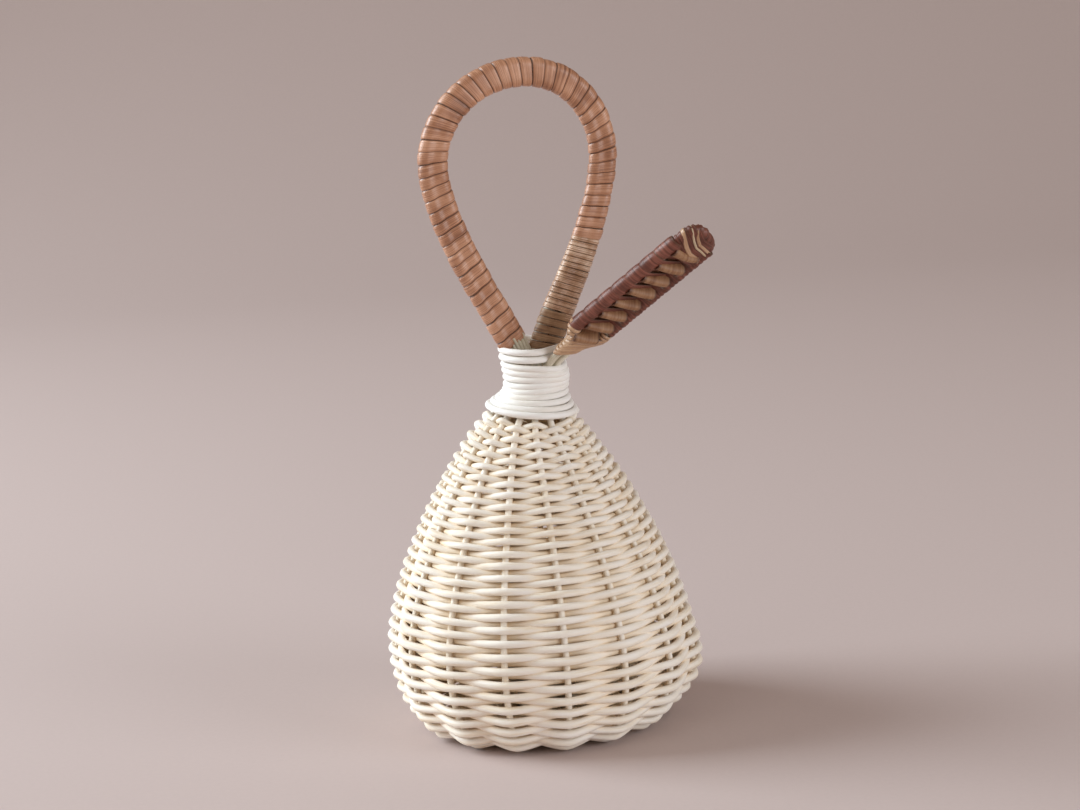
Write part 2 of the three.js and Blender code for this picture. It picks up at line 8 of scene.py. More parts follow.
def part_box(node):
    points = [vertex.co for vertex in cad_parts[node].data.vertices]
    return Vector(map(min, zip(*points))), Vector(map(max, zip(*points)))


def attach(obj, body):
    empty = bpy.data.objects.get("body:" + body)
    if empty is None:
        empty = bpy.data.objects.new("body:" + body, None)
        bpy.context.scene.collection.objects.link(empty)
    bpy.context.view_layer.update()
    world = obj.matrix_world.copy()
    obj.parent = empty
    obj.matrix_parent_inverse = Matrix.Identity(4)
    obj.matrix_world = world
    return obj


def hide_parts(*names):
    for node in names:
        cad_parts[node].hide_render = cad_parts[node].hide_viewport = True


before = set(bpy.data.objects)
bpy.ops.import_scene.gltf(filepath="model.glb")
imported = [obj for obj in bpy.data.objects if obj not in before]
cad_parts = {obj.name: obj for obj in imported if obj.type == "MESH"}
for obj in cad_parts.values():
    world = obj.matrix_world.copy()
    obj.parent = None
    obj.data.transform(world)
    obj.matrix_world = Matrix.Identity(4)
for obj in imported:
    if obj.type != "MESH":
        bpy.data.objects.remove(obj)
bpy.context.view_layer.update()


# Stakes: eight round peeled canes, laid crosswise under the base and bent up as the fifteen ribs of
# the body, then gathered at the neck. Lengths from here on are in millimetres above the table.
MM = 0.001
RIBS = 15
RIB_STEP = 2 * math.pi / RIBS
FIRST_RIB = math.radians(15.3)
STAKE_RADIUS = 0.88
STAKE_PITCH = 2.3
STAKE_TOP = 97
STAKE_STEP = 1.2
LOWER_LEVEL = 1.02 * STAKE_RADIUS
UPPER_LEVEL = 3.15 * STAKE_RADIUS
CROSSING_PLACES = (5.9, 4.9, 0, -4.9, -5.9)
CANE_SIDES = 10
CANE_CREASE = math.radians(60)
WELD = 0.001
FAN, BASE, BELLY, SHOULDER, NECK = (10.5, 3.36), (27, 2.77), (37.6, 23), (13, 78.5), (6.15, 90)
WALL_TOP = (6.15, 100)
FAN_POINTS = 20
ABOVE_BELLY = slice(80, None)
NECK_LEAN = 2.2
LEAN_RISE = 16.1
NECK_SAG = 1.2
SAG_REACH = 6
NECK_TILT = 1.8
BULGE = 2.8
BULGE_SPREAD = 0.75
BULGE_HEIGHT = 15
BULGE_REACH = 9
# Depth in the weave at which the warm painted shade between strands sets in, and how fast it fades.
GAP_DEPTH = 0.9
GAP_FADE = 2.2
CANE_PALE = (0.97, 0.92, 0.85)
CANE_MID = (0.95, 0.87, 0.75)
CANE_DEEP = (0.87, 0.73, 0.55)
# Warm painted shade for the cane where it lies deep in the weave, between strands.
CANE_GAP_SHADE = (0.95, 0.77, 0.56)
TONE_STOPS = (0.34, 0.48, 0.62)
GLOSS_SPREAD = 0.12
FIBRE_REPEAT = 10
COLOUR_A, COLOUR_B, COLOUR_OUT = 6, 7, 2


def bend(*corners):
    """Points of a curve drawn by four corners, without its last point."""
    t = np.linspace(0, 1, 60)[:-1, None]
    a, b, c, d = (np.array(corner, float) for corner in corners)
    return a * (1 - t) ** 3 + 3 * b * t * (1 - t) ** 2 + 3 * c * t * t * (1 - t) + d * t ** 3


def run_of(points):
    """Length along a line at each of its points."""
    return np.concatenate([[0], np.cumsum(np.linalg.norm(np.diff(points, axis=0), axis=1))])


def ease(x):
    """Soft step from 0 to 1."""
    x = np.clip(x, 0, 1)
    return x * x * (3 - 2 * x)


# Half outline of the body, as radius and height through the middle of the stakes
wall = np.vstack([
    np.linspace(FAN, BASE, FAN_POINTS)[:-1],
    bend(BASE, (32.94, 2.77), (37.6, 11.96), BELLY),
    bend(BELLY, (37.6, 41.87), (19.4, 70.51), SHOULDER),
    bend(SHOULDER, (9.8, 82.5), (6.15, 85.63), NECK),
    [NECK, WALL_TOP],
])
wall_run = run_of(wall)
wall_way = np.gradient(wall, wall_run, axis=0)
shoulder_run = wall_run[np.argmin(np.hypot(*(wall - SHOULDER).T))]


def run_at(height):
    """Length up the outline at a height above the belly."""
    return np.interp(height, wall[ABOVE_BELLY, 1], wall_run[ABOVE_BELLY])


def neck_shift(height):
    """The neck leans to the right."""
    return NECK_LEAN * ease((height - SHOULDER[1]) / LEAN_RISE)


def side_bulge(angle, height):
    """The body bulges a little low on its right."""
    turn = np.angle(np.exp(1j * angle))
    return BULGE * np.exp(-(turn / BULGE_SPREAD) ** 2 - ((height - BULGE_HEIGHT) / BULGE_REACH) ** 2)


def on_wall(run, angle, offset=0.0):
    """Points of the body at a length up its outline, an angle round it and an offset outwards."""
    radius = np.interp(run, wall_run, wall[:, 0]) + offset * np.interp(run, wall_run, wall_way[:, 1])
    height = np.interp(run, wall_run, wall[:, 1]) - offset * np.interp(run, wall_run, wall_way[:, 0])
    radius = radius + side_bulge(angle, height)
    sag = NECK_SAG * np.exp(-((height - NECK[1]) / SAG_REACH) ** 2)
    across = radius * np.cos(angle) + neck_shift(height) + sag
    return np.stack([across, radius * np.sin(angle), height], axis=-1)


def even_line(points, step):
    """The line through points, with a point every step and its corners eased."""
    run = run_of(points)
    spots = np.linspace(0, run[-1], max(int(run[-1] / step), 2))
    line = np.stack([np.interp(spots, run, points[:, k]) for k in range(3)], axis=-1)
    for _ in range(3):
        line[1:-1] = (line[:-2] + 2 * line[1:-1] + line[2:]) / 4
    return line


def fibre_finish(name, tones, roughness, along, around, relief, blotch=90, edge=None, coat=0.0,
                 edge_share=0.07, inside=None):
    """Cane or peel: fibres that follow the strand, slow patches of tone and, on a strip, edges of another
    tone (painted shade in the seams between turns, or the cut edge's own tone); on cane, a warm painted
    shade deep in the weave.
    """
    finish = bpy.data.materials.new(name)
    finish.use_nodes = True
    nodes, links = finish.node_tree.nodes, finish.node_tree.links
    shader = nodes["Principled BSDF"]
    shader.inputs["Coat Weight"].default_value = coat
    shader.inputs["Coat Roughness"].default_value = 0.36
    place = nodes.new("ShaderNodeTexCoord")
    stretch = nodes.new("ShaderNodeMapping")
    stretch.inputs["Scale"].default_value = (along, around, 1)
    links.new(place.outputs["UV"], stretch.inputs["Vector"])
    fibres = nodes.new("ShaderNodeTexNoise")
    fibres.inputs["Scale"].default_value = 1
    fibres.inputs["Detail"].default_value = 5
    fibres.inputs["Roughness"].default_value = 0.62
    links.new(stretch.outputs["Vector"], fibres.inputs["Vector"])
    patches = nodes.new("ShaderNodeTexNoise")
    patches.inputs["Scale"].default_value = blotch
    patches.inputs["Detail"].default_value = 2
    links.new(place.outputs["Object"], patches.inputs["Vector"])
    tone = nodes.new("ShaderNodeMix")
    tone.inputs["Factor"].default_value = 0.32
    links.new(fibres.outputs["Fac"], tone.inputs["A"])
    links.new(patches.outputs["Fac"], tone.inputs["B"])
    ramp = nodes.new("ShaderNodeValToRGB")
    ramp.color_ramp.elements.new(0.5)
    for stop, position, colour in zip(ramp.color_ramp.elements, TONE_STOPS, tones):
        stop.position = position
        stop.color = (*colour, 1)
    links.new(tone.outputs["Result"], ramp.inputs["Fac"])
    colour = ramp.outputs["Color"]
    # Edges of a strip: painted shade in the seams between turns, or for the dark lacing the paler tone of
    # its cut edge.
    if edge:
        split = nodes.new("ShaderNodeSeparateXYZ")
        links.new(place.outputs["UV"], split.inputs["Vector"])
        centre = nodes.new("ShaderNodeMath")
        centre.operation = "PINGPONG"
        centre.inputs[1].default_value = 0.5
        links.new(split.outputs["Y"], centre.inputs[0])
        rim_shade = nodes.new("ShaderNodeMapRange")
        rim_shade.inputs["From Max"].default_value = edge_share
        rim_shade.inputs["To Min"].default_value = 1
        rim_shade.inputs["To Max"].default_value = 0
        links.new(centre.outputs["Value"], rim_shade.inputs["Value"])
        edge_tone_and_shade = nodes.new("ShaderNodeMix")
        edge_tone_and_shade.data_type = "RGBA"
        links.new(rim_shade.outputs["Result"], edge_tone_and_shade.inputs["Factor"])
        links.new(colour, edge_tone_and_shade.inputs[COLOUR_A])
        edge_tone_and_shade.inputs[COLOUR_B].default_value = (*edge, 1)
        colour = edge_tone_and_shade.outputs[COLOUR_OUT]
    # Deep in the weave, between strands, the colour turns to a warm painted shade.
    if inside:
        depth = nodes.new("ShaderNodeAttribute")
        depth.attribute_name = "outward"
        gap_shade_mix = nodes.new("ShaderNodeMix")
        gap_shade_mix.data_type = "RGBA"
        gap_shade_mix.inputs[COLOUR_A].default_value = (*inside, 1)
        links.new(depth.outputs["Fac"], gap_shade_mix.inputs["Factor"])
        links.new(colour, gap_shade_mix.inputs[COLOUR_B])
        colour = gap_shade_mix.outputs[COLOUR_OUT]
    links.new(colour, shader.inputs["Base Color"])
    gloss = nodes.new("ShaderNodeMapRange")
    gloss.inputs["To Min"].default_value = roughness + GLOSS_SPREAD
    gloss.inputs["To Max"].default_value = roughness - GLOSS_SPREAD
    links.new(fibres.outputs["Fac"], gloss.inputs["Value"])
    links.new(gloss.outputs["Result"], shader.inputs["Roughness"])
    grain = nodes.new("ShaderNodeBump")
    grain.inputs["Strength"].default_value = 0.6
    grain.inputs["Distance"].default_value = relief * MM
    links.new(fibres.outputs["Fac"], grain.inputs["Height"])
    links.new(grain.outputs["Normal"], shader.inputs["Normal"])
    return finish


def finish_strand(strand, finish, slot, along, *nodes):
    """Gives a strand its finish and its place on the rattle, and hides the CAD nodes it stands for."""
    strand.data.materials.append(finish)
    seam = strand.data.uv_layers[0].data
    spots = np.empty(2 * len(seam), np.float32)
    seam.foreach_get("uv", spots)
    spots[0::2] *= along / FIBRE_REPEAT
    seam.foreach_set("uv", spots)
    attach(strand, "rattle")
    if nodes:
        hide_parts(*nodes)
    return strand


def lay_cane(name, line, radius, sides, finish, slot, *nodes):
    """A round cane along a line, as thick as radius says at each of its points."""
    bpy.ops.object.select_all(action="DESELECT")
    curve = bpy.data.curves.new(name, "CURVE")
    curve.dimensions = "3D"
    curve.bevel_depth = MM
    curve.bevel_resolution = sides // 2 - 2
    curve.use_fill_caps = True
    spline = curve.splines.new("POLY")
    spline.points.add(len(line) - 1)
    spline.points.foreach_set("co", np.column_stack([line * MM, np.ones(len(line))]).ravel())
    spline.points.foreach_set("radius", np.broadcast_to(radius, len(line)).astype(float))
    cane = bpy.data.objects.new(name, curve)
    bpy.context.collection.objects.link(cane)
    cane.select_set(True)
    bpy.context.view_layer.objects.active = cane
    bpy.ops.object.convert(target="MESH")
    bpy.ops.object.mode_set(mode="EDIT")
    bpy.ops.mesh.select_all(action="SELECT")
    bpy.ops.mesh.remove_doubles(threshold=WELD * MM)
    bpy.ops.object.mode_set(mode="OBJECT")
    bpy.ops.object.shade_smooth_by_angle(angle=CANE_CREASE)
    return finish_strand(cane, finish, slot, run_of(line)[-1], *nodes)


def mark_outward(cane):
    """Writes on a cane how far out of the wall each point lies, for the warm painted shade between strands.
    """
    points = np.empty(3 * len(cane.data.vertices), np.float32)
    cane.data.vertices.foreach_get("co", points)
    x, y, z = points.reshape(-1, 3).T / MM
    x = x - neck_shift(z)
    inner = np.interp(z, wall[FAN_POINTS:, 1], wall[FAN_POINTS:, 0])
    out = np.hypot(x, y) - side_bulge(np.arctan2(y, x), z) - inner
    mark = cane.data.attributes.new("outward", "FLOAT", "POINT")
    mark.data.foreach_set("value", ease((out + GAP_DEPTH) / GAP_FADE).astype(np.float32))


# Peeled cane, with a warm painted shade deep in the weave.
peeled_cane = fibre_finish(
    "peeled_cane", (CANE_DEEP, CANE_MID, CANE_PALE),
    roughness=0.6, along=0.8, around=5, relief=0.2, inside=CANE_GAP_SHADE,
)
rib_runs = np.arange(0, run_at(STAKE_TOP), STAKE_STEP)


def lay_stake(name, first, second, across, upper, node):
    """A stake from the top of one rib, under the base, to the top of another."""
    middle = np.array([[along, across] for along in CROSSING_PLACES], float)
    if upper:
        middle = middle[:, ::-1]
    cos, sin = math.cos(FIRST_RIB), math.sin(FIRST_RIB)
    level = UPPER_LEVEL if upper else LOWER_LEVEL
    middle = np.column_stack([middle @ np.array([[cos, sin], [-sin, cos]]), np.full(len(middle), level)])
    ends = [on_wall(rib_runs, FIRST_RIB + rib * RIB_STEP) for rib in (first, second) if rib is not None]
    start = ends[0][::-1] if first is not None else middle[:0]
    line = even_line(np.vstack([start, middle, ends[-1]]), STAKE_STEP)
    mark_outward(lay_cane(name, line, STAKE_RADIUS, CANE_SIDES, peeled_cane, "cane", node))


lay_stake("lower_stake_1", 14, 8, -STAKE_PITCH, False, "stake_lower_1")
lay_stake("lower_stake_2", 0, 7, 0, False, "stake_lower_2")
lay_stake("lower_stake_3", 1, 6, STAKE_PITCH, False, "stake_lower_3")
lay_stake("upper_stake_1", 2, 13, 2 * STAKE_PITCH, True, "stake_upper_1")
lay_stake("upper_stake_2", 3, 12, STAKE_PITCH, True, "stake_upper_2")
lay_stake("upper_stake_3", 4, 11, 0, True, "stake_upper_3")
lay_stake("upper_stake_4", 5, 10, -STAKE_PITCH, True, "stake_upper_4")
lay_stake("upper_half_stake", None, 9, -2 * STAKE_PITCH, True, "stake_upper_half")


# Weaver: one spiral of peeled cane, over a stake and under the next, in eight lengths whose ends are
# tucked behind a stake. It is pulled tight, so a strand thins where it dives between its neighbours.
WEAVER_LENGTHS = 8
WEAVER_STEPS = 10
FIRST_ROW = 1.4
ROW_EASE = 0.1
WEAVE_RISE = 4.7
WEAVE_POINTS = 900
PITCH_RUNS = (0, 18, 42, 58, 76, 106)
ROW_PITCHES = (1.62, 1.58, 1.7, 1.62, 1.52, 1.44)
WEAVER_RUNS = (0, 42, 106)
WEAVER_RADII = (1.07, 1.07, 0.8)
WEAVER_GRIP = 0.3
WEAVER_BEND = 0.96
WEAVER_PINCH = 0.05
WEAVER_TAIL = 0.35
TILT_BELOW = 14
TILT_FADE = 16
dice = np.random.default_rng(15)


def wander(size, every, reach):
    """Slow change along a strand, by up to reach each way, with a new value every so many points."""
    values = dice.uniform(-reach, reach, size // every + 3)
    place = np.arange(size) / every
    before = place.astype(int)
    part = ease(place - before)
    return values[before] * (1 - part) + values[before + 1] * part


weave_run = np.linspace(FIRST_ROW, shoulder_run + WEAVE_RISE, WEAVE_POINTS)
row_pitch = np.interp(weave_run[1:], PITCH_RUNS, ROW_PITCHES)
weave_row = np.concatenate([[0], np.cumsum(np.diff(weave_run) / row_pitch)])
crossings = np.arange(int(weave_row[-1] * RIBS) * WEAVER_STEPS + 1) / WEAVER_STEPS
weave_at = np.interp(crossings / RIBS, weave_row, weave_run)
weave_angle = FIRST_RIB + crossings * RIB_STEP
weaver_radius = np.interp(weave_at, WEAVER_RUNS, WEAVER_RADII)
weaver_radius += wander(len(crossings), every=45, reach=0.05)
weaver_swing = np.arcsin(-WEAVER_BEND * np.cos(np.pi * crossings)) / math.asin(WEAVER_BEND)
weaver_offset = weaver_swing * (STAKE_RADIUS + weaver_radius - WEAVER_GRIP)
weaver_offset += wander(len(crossings), every=17, reach=0.09)
weave_tilt = NECK_TILT * np.cos(weave_angle) * ease((weave_at - shoulder_run + TILT_BELOW) / TILT_FADE)
weaver_line = on_wall(
    weave_at - weave_tilt + wander(len(crossings), every=23, reach=0.16),
    weave_angle + wander(len(crossings), every=31, reach=0.006),
    weaver_offset,
)
weaver_radius *= 1 - WEAVER_PINCH + WEAVER_PINCH * weaver_swing ** 2
shares = np.arange(WEAVER_LENGTHS + 1) / WEAVER_LENGTHS
seams = FIRST_ROW + (shoulder_run - FIRST_ROW) * (shares + ROW_EASE * shares * (1 - shares))
seams = 2 * np.round(np.interp(seams, weave_run, weave_row) * RIBS / 2)
seams[-1] = crossings[-1]
for number in range(WEAVER_LENGTHS):
    low, high = seams[number] - WEAVER_TAIL, seams[number + 1] + WEAVER_TAIL
    span = (crossings >= low) & (crossings <= high)
    mark_outward(lay_cane(f"weaver_cane_{number + 1}", weaver_line[span], weaver_radius[span], CANE_SIDES,
                          peeled_cane, "cane", f"weaver_{number + 1}"))


# Neck binding: whiter cane wound close round the gathered stakes. The top two turns hold the loop's
# legs alone and pass behind the stem of the leaf, which comes out above the third.
NECK_RADIUS = 0.83
NECK_PITCH = 1.53
NECK_FOOT = 4.1
NECK_RIM = 101
NECK_POINTS = 400
NECK_STEPS = 48
NECK_SIDES = 12
NECK_END = 0.26
NECK_PRESS = 0.9
NECK_TILT_TURNS = 6
NECK_FLARE = 1.0
FLARE_TURNS = 5
FLARE_LEFT = 0.5
FREE_TURNS, FREE_FADE = 2.45, 0.5
FREE_TUCK = 1.5
FREE_RISE = 1.3
FREE_CLOSE = 0.42
FREE_TILT = 0.09
FREE_SWELL = 0.07
HELD_TURNS, HELD_FADE = 6.5, 3
HELD_BULGE = 0.75
HELD_DROP = 0.4
HELD_TILT = 0.8
STEM_ANGLE = math.radians(-38)
STEM_SPREAD = 0.62
WHITE_TONES = ((0.90, 0.84, 0.76), (0.95, 0.92, 0.87), (0.97, 0.96, 0.93))
white_cane = fibre_finish("white_cane", WHITE_TONES, roughness=0.55, along=0.8, around=3, relief=0.1)
neck_spots = np.linspace(shoulder_run + NECK_FOOT, run_at(NECK_RIM), NECK_POINTS)
neck_grip = STAKE_RADIUS + NECK_PRESS * NECK_RADIUS
neck_run = run_of(on_wall(neck_spots, 0 * neck_spots, neck_grip))
neck_turns = math.floor(neck_run[-1] / NECK_PITCH) + NECK_END
turns = np.arange(int(neck_turns * NECK_STEPS) + 1) / NECK_STEPS
neck_angle = FIRST_RIB + 2 * np.pi * turns
from_top = neck_turns - turns
towards_stem = np.exp(-(np.angle(np.exp(1j * (neck_angle - STEM_ANGLE))) / STEM_SPREAD) ** 2)
free_turns = ease((FREE_TURNS - from_top) / FREE_FADE)
held_turns = ease((HELD_TURNS - from_top) / HELD_FADE) * (1 - free_turns)
neck_tilt = NECK_TILT * np.cos(neck_angle) * (1 - ease(turns / NECK_TILT_TURNS))
neck_flare = NECK_FLARE * (1 - FLARE_LEFT * np.cos(neck_angle)) * (1 - ease(turns / FLARE_TURNS))
neck_offset = neck_grip + neck_flare + wander(len(turns), every=19, reach=0.05)
neck_offset += HELD_BULGE * held_turns * towards_stem - FREE_TUCK * free_turns * towards_stem
neck_line = on_wall(
    np.interp(turns * NECK_PITCH, neck_run, neck_spots) - neck_tilt,
    neck_angle,
    neck_offset,
)
free_lift = FREE_RISE - FREE_CLOSE * from_top - FREE_TILT * (neck_line[:, 0] - NECK_LEAN)
neck_line[:, 2] += free_turns * free_lift - HELD_DROP * held_turns * towards_stem
neck_line[:, 2] -= HELD_TILT * held_turns * np.cos(neck_angle)
neck_radius = NECK_RADIUS * (1 + FREE_SWELL * free_turns + wander(len(turns), every=29, reach=0.06))
lay_cane("neck_cane", neck_line, neck_radius, NECK_SIDES, white_cane, "white_cane", "neck_binding")


# Loop rods: two round rods side by side, bent to a finger loop, whose four ends stand in the neck.
# They are bare only just above the binding, where pale split ends show beside the wrap.
ROD_RADIUS = 1.6
ROD_OFFSET = 1.75
ROD_FILL = 0.93
ROD_POINTS = 200
ROD_SIDES = 12
LEG_OFFSET = 2.8
LEG_TOP = 96.6
LEG_FOOT = 83.8
LEG_LOW_BEND, LEG_HIGH_BEND = (-5.48, 106.6), (-19.4, 126.5)
LOOP_RADIUS = 22.2
LOOP_SIDE = 21.98
LOOP_CENTRE = 147.8
LOOP_LOW = 144.71
LOOP_PAST = math.radians(8)
LOOP_TURN = math.radians(14)
LOOP_BULGE = 1.2
LOOP_BULGE_AT = 14
LOOP_BULGE_REACH = 16
TWIST_FOOT = 88
TWIST_HEIGHT = 8
SLIM_LEFT, SLIM_RIGHT, SLIM_LEG = 50, 45, 62
SLIM_SHARES = (1.02, 1.03, 1.0, 0.92, 1.02, 1.34)
CORES = 5
CORE_START, CORE_END, CORE_POINTS = 10, 19.4, 20
CORE_RADIUS = 0.46
CORE_SIDES = 8
CORE_SHIFT = 0.3
CORE_PITCH = 0.85
CORE_FRONT = 1.62
CORE_ARCH = 0.1
PITH_TONES = ((0.56, 0.49, 0.36), (0.72, 0.66, 0.52), (0.85, 0.81, 0.69))
UP = np.array([0, 0, 1])
IN_LOOP = np.array([math.cos(LOOP_TURN), math.sin(LOOP_TURN), 0])
BEHIND_LOOP = np.array([-math.sin(LOOP_TURN), math.cos(LOOP_TURN), 0])
pith = fibre_finish("pith", PITH_TONES, roughness=0.6, along=0.7, around=6, relief=0.2)
loop_arc = np.linspace(math.pi + LOOP_PAST, -LOOP_PAST, 90)[1:-1]
left_leg = np.vstack([
    np.linspace((-LEG_OFFSET, LEG_FOOT), (-LEG_OFFSET, LEG_TOP), 12)[:-1],
    bend((-LEG_OFFSET, LEG_TOP), LEG_LOW_BEND, LEG_HIGH_BEND, (-LOOP_SIDE, LOOP_LOW)),
    [(-LOOP_SIDE, LOOP_LOW)],
])
loop = np.vstack([
    left_leg,
    np.column_stack([LOOP_RADIUS * np.cos(loop_arc), LOOP_CENTRE + LOOP_RADIUS * np.sin(loop_arc)]),
    left_leg[::-1] * (-1, 1),
])
loop_run = run_of(loop)
loop_way = np.gradient(loop, loop_run, axis=0)
loop_way /= np.linalg.norm(loop_way, axis=1)[:, None]
loop_top = loop_run[-1] / 2


def on_loop(run):
    """Middle of the rod pair at a length along the loop, and the ways to its outer rod and its back."""
    side, height = (np.interp(run, loop_run, loop[:, k]) for k in (0, 1))
    way_side, way_up = (np.interp(run, loop_run, loop_way[:, k]) for k in (0, 1))
    point = side[..., None] * IN_LOOP + height[..., None] * UP
    point[..., 0] += neck_shift(height)
    outward = -way_up[..., None] * IN_LOOP + way_side[..., None] * UP
    past_bulge = (run - loop_top - LOOP_BULGE_AT) / LOOP_BULGE_REACH
    point += LOOP_BULGE * np.exp(-past_bulge ** 2)[..., None] * outward
    turn = (math.pi / 2 * (1 - ease((height - TWIST_FOOT) / TWIST_HEIGHT)))[..., None]
    pair = outward * np.cos(turn) - BEHIND_LOOP * np.sin(turn)
    back = outward * np.sin(turn) + BEHIND_LOOP * np.cos(turn)
    return point, pair, back


def loop_slim(run):
    """The wrapped loop is fullest on its left and slimmer down the right side."""
    places = (0, SLIM_LEFT, loop_top, loop_top + SLIM_RIGHT, loop_top + SLIM_LEG, loop_run[-1])
    return np.interp(run, places, SLIM_SHARES)


rod_runs = np.linspace(0, loop_run[-1], ROD_POINTS)
rod_middle, rod_pair, _ = on_loop(rod_runs)
rod_slim = loop_slim(rod_runs)
for name, sign, node in (("outer_rod", 1, "handle_rod_outer"), ("inner_rod", -1, "handle_rod_inner")):
    rod_line = rod_middle + sign * ROD_OFFSET * rod_slim[:, None] * rod_pair
    lay_cane(name, rod_line, ROD_FILL * ROD_RADIUS * rod_slim, ROD_SIDES, pith, "pith", node)
core_middle, core_pair, core_back = on_loop(np.linspace(CORE_START, CORE_END, CORE_POINTS))
for number in range(CORES):
    core_side = CORE_SHIFT - CORE_PITCH * number
    core_front = CORE_FRONT - CORE_ARCH * (number - CORES // 2) ** 2
    core_line = core_middle + core_side * core_pair - core_front * core_back
    lay_cane(f"split_core_{number + 1}", core_line, CORE_RADIUS, CORE_SIDES, pith, "pith")


# Loop wrap: a flat strip of satin cane peel wound edge to edge from the left foot over the top and
# down the right leg. It is crowned, and sinks a little into the valley between the two rods.
WRAP_PITCH = 2.9
WRAP_LAP = 0.04
WRAP_THICKNESS = 0.5
WRAP_DROP = 0.3
WRAP_LOOSE = 0.1
WRAP_STEPS = 28
WRAP_END = 0.8
WRAP_FOOT_HEIGHT, FINE_TOP_HEIGHT, TIE_TOP_HEIGHT, LEG_END_HEIGHT = 101.8, 126, 108, 98.8
VALLEY = 0.42
BRIDGE = 14
BRIDGE_FADE = 16
STRIP_CREASE = math.radians(55)
PEEL_TONES = ((0.20, 0.07, 0.03), (0.47, 0.21, 0.108), (0.76, 0.42, 0.26))
# Dark colour at the edges of each turn of peel: painted shade in the seams between turns.
PEEL_SEAM_SHADE = (0.08, 0.028, 0.013)


def round_pair(share, valley):
    """Section of the rod pair at a share of its girth: place along the pair and to the front, way out."""
    quarter, flat = math.pi * ROD_RADIUS / 2, 2 * ROD_OFFSET
    girth = 4 * quarter + 2 * flat
    spot = np.mod(share, 1) * girth
    far = spot > girth / 2
    spot = np.where(far, girth - spot, spot)
    first_bend = np.clip(spot / ROD_RADIUS, 0, math.pi / 2)
    angle = first_bend + np.clip((spot - quarter - flat) / ROD_RADIUS, 0, math.pi / 2)
    slide = np.clip((spot - quarter) / flat, 0, 1)
    centre = ROD_OFFSET * (1 - 2 * slide)
    sink = valley * np.sin(math.pi * slide) ** 2
    facing = np.where(far, -1, 1)
    front = facing * (ROD_RADIUS * np.sin(angle) - sink)
    return centre + ROD_RADIUS * np.cos(angle), front, np.cos(angle), facing * np.sin(angle)


def wind(start, end, pitch, width, profile, slim=lambda run: 1.0, valley=lambda run: 0.0, loose=0.05):
    """Rows of points for a strip wound round the rod pair, with the profile of its face across it."""
    places = np.linspace(0.5, -0.5, len(profile)) * width
    turn = np.arange(int((end - start) / pitch * WRAP_STEPS) + 1) / WRAP_STEPS
    middle = start + pitch * turn + wander(len(turn), WRAP_STEPS, loose)
    lift = wander(len(turn), WRAP_STEPS // 2, loose)
    tip = wander(len(turn), WRAP_STEPS, loose)
    run = middle[:, None] + places[None, :]
    point, pair, back = on_loop(run)
    side, front, out_side, out_front = round_pair(turn[:, None] + 0 * run, valley(run))
    height = np.array(profile)[None, :] + lift[:, None] + tip[:, None] * np.linspace(-1, 1, len(profile))
    size = slim(run)
    along = side * size + out_side * height
    ahead = front * size + out_front * height
    return point + along[..., None] * pair - ahead[..., None] * back


def lay_strip(name, rows, thickness, finish, slot, *nodes, offset=-1):
    """A flat strip of peel: a grid laid on rows of points and given its thickness."""
    length, width = rows.shape[:2]
    bpy.ops.object.select_all(action="DESELECT")
    bpy.ops.mesh.primitive_grid_add(x_subdivisions=width - 1, y_subdivisions=length - 1, size=1)
    strip = bpy.context.object
    strip.name = name
    strip.data.name = name
    strip.data.vertices.foreach_set("co", (rows * MM).ravel())
    spots = np.empty(2 * len(strip.data.loops), np.float32)
    strip.data.uv_layers[0].data.foreach_get("uv", spots)
    strip.data.uv_layers[0].data.foreach_set("uv", spots.reshape(-1, 2)[:, ::-1].ravel())
    depth = strip.modifiers.new("Thickness", "SOLIDIFY")
    depth.thickness = thickness * MM
    depth.offset = offset
    bpy.ops.object.modifier_apply(modifier=depth.name)
    bpy.ops.object.shade_smooth_by_angle(angle=STRIP_CREASE)
    return finish_strand(strip, finish, slot, run_of(rows[:, width // 2])[-1], *nodes)


def crown(points, top, drop, power=3):
    """Profile of a strip that is top high in its middle and drops towards its edges."""
    place = np.linspace(-1, 1, points)
    return top - drop * np.abs(place) ** power


def loop_at(height, right):
    """Length along the loop at which one of its legs is at a height."""
    half = len(loop) // 2
    leg = slice(half, None) if right else slice(0, half)
    heights, runs = loop[leg, 1], loop_run[leg]
    return np.interp(height, heights[::-1], runs[::-1]) if right else np.interp(height, heights, runs)


def loop_valley(run):
    """The wrap bridges the rods over the top of the loop and sinks between them down its sides."""
    return VALLEY * ease((np.abs(run - loop_top) - BRIDGE) / BRIDGE_FADE)


satin_peel = fibre_finish(
    "satin_peel", PEEL_TONES,
    roughness=0.4, along=0.45, around=17, relief=0.2, blotch=140, edge=PEEL_SEAM_SHADE, coat=0.5, edge_share=0.09,
)
wrap_foot = loop_at(WRAP_FOOT_HEIGHT, False)
fine_top = loop_at(FINE_TOP_HEIGHT, True)
tie_top = loop_at(TIE_TOP_HEIGHT, True)
leg_end = loop_at(LEG_END_HEIGHT, True)
wrap_end = wrap_foot + WRAP_PITCH * (math.floor((fine_top - wrap_foot) / WRAP_PITCH) + WRAP_END)
wrap_profile = crown(13, top=WRAP_THICKNESS, drop=WRAP_DROP, power=6)
wrap_rows = wind(wrap_foot, wrap_end, WRAP_PITCH, WRAP_PITCH + WRAP_LAP, wrap_profile,
                 loop_slim, loop_valley, WRAP_LOOSE)
lay_strip("loop_wrap", wrap_rows, WRAP_THICKNESS, satin_peel, "peel", "handle_wrap")


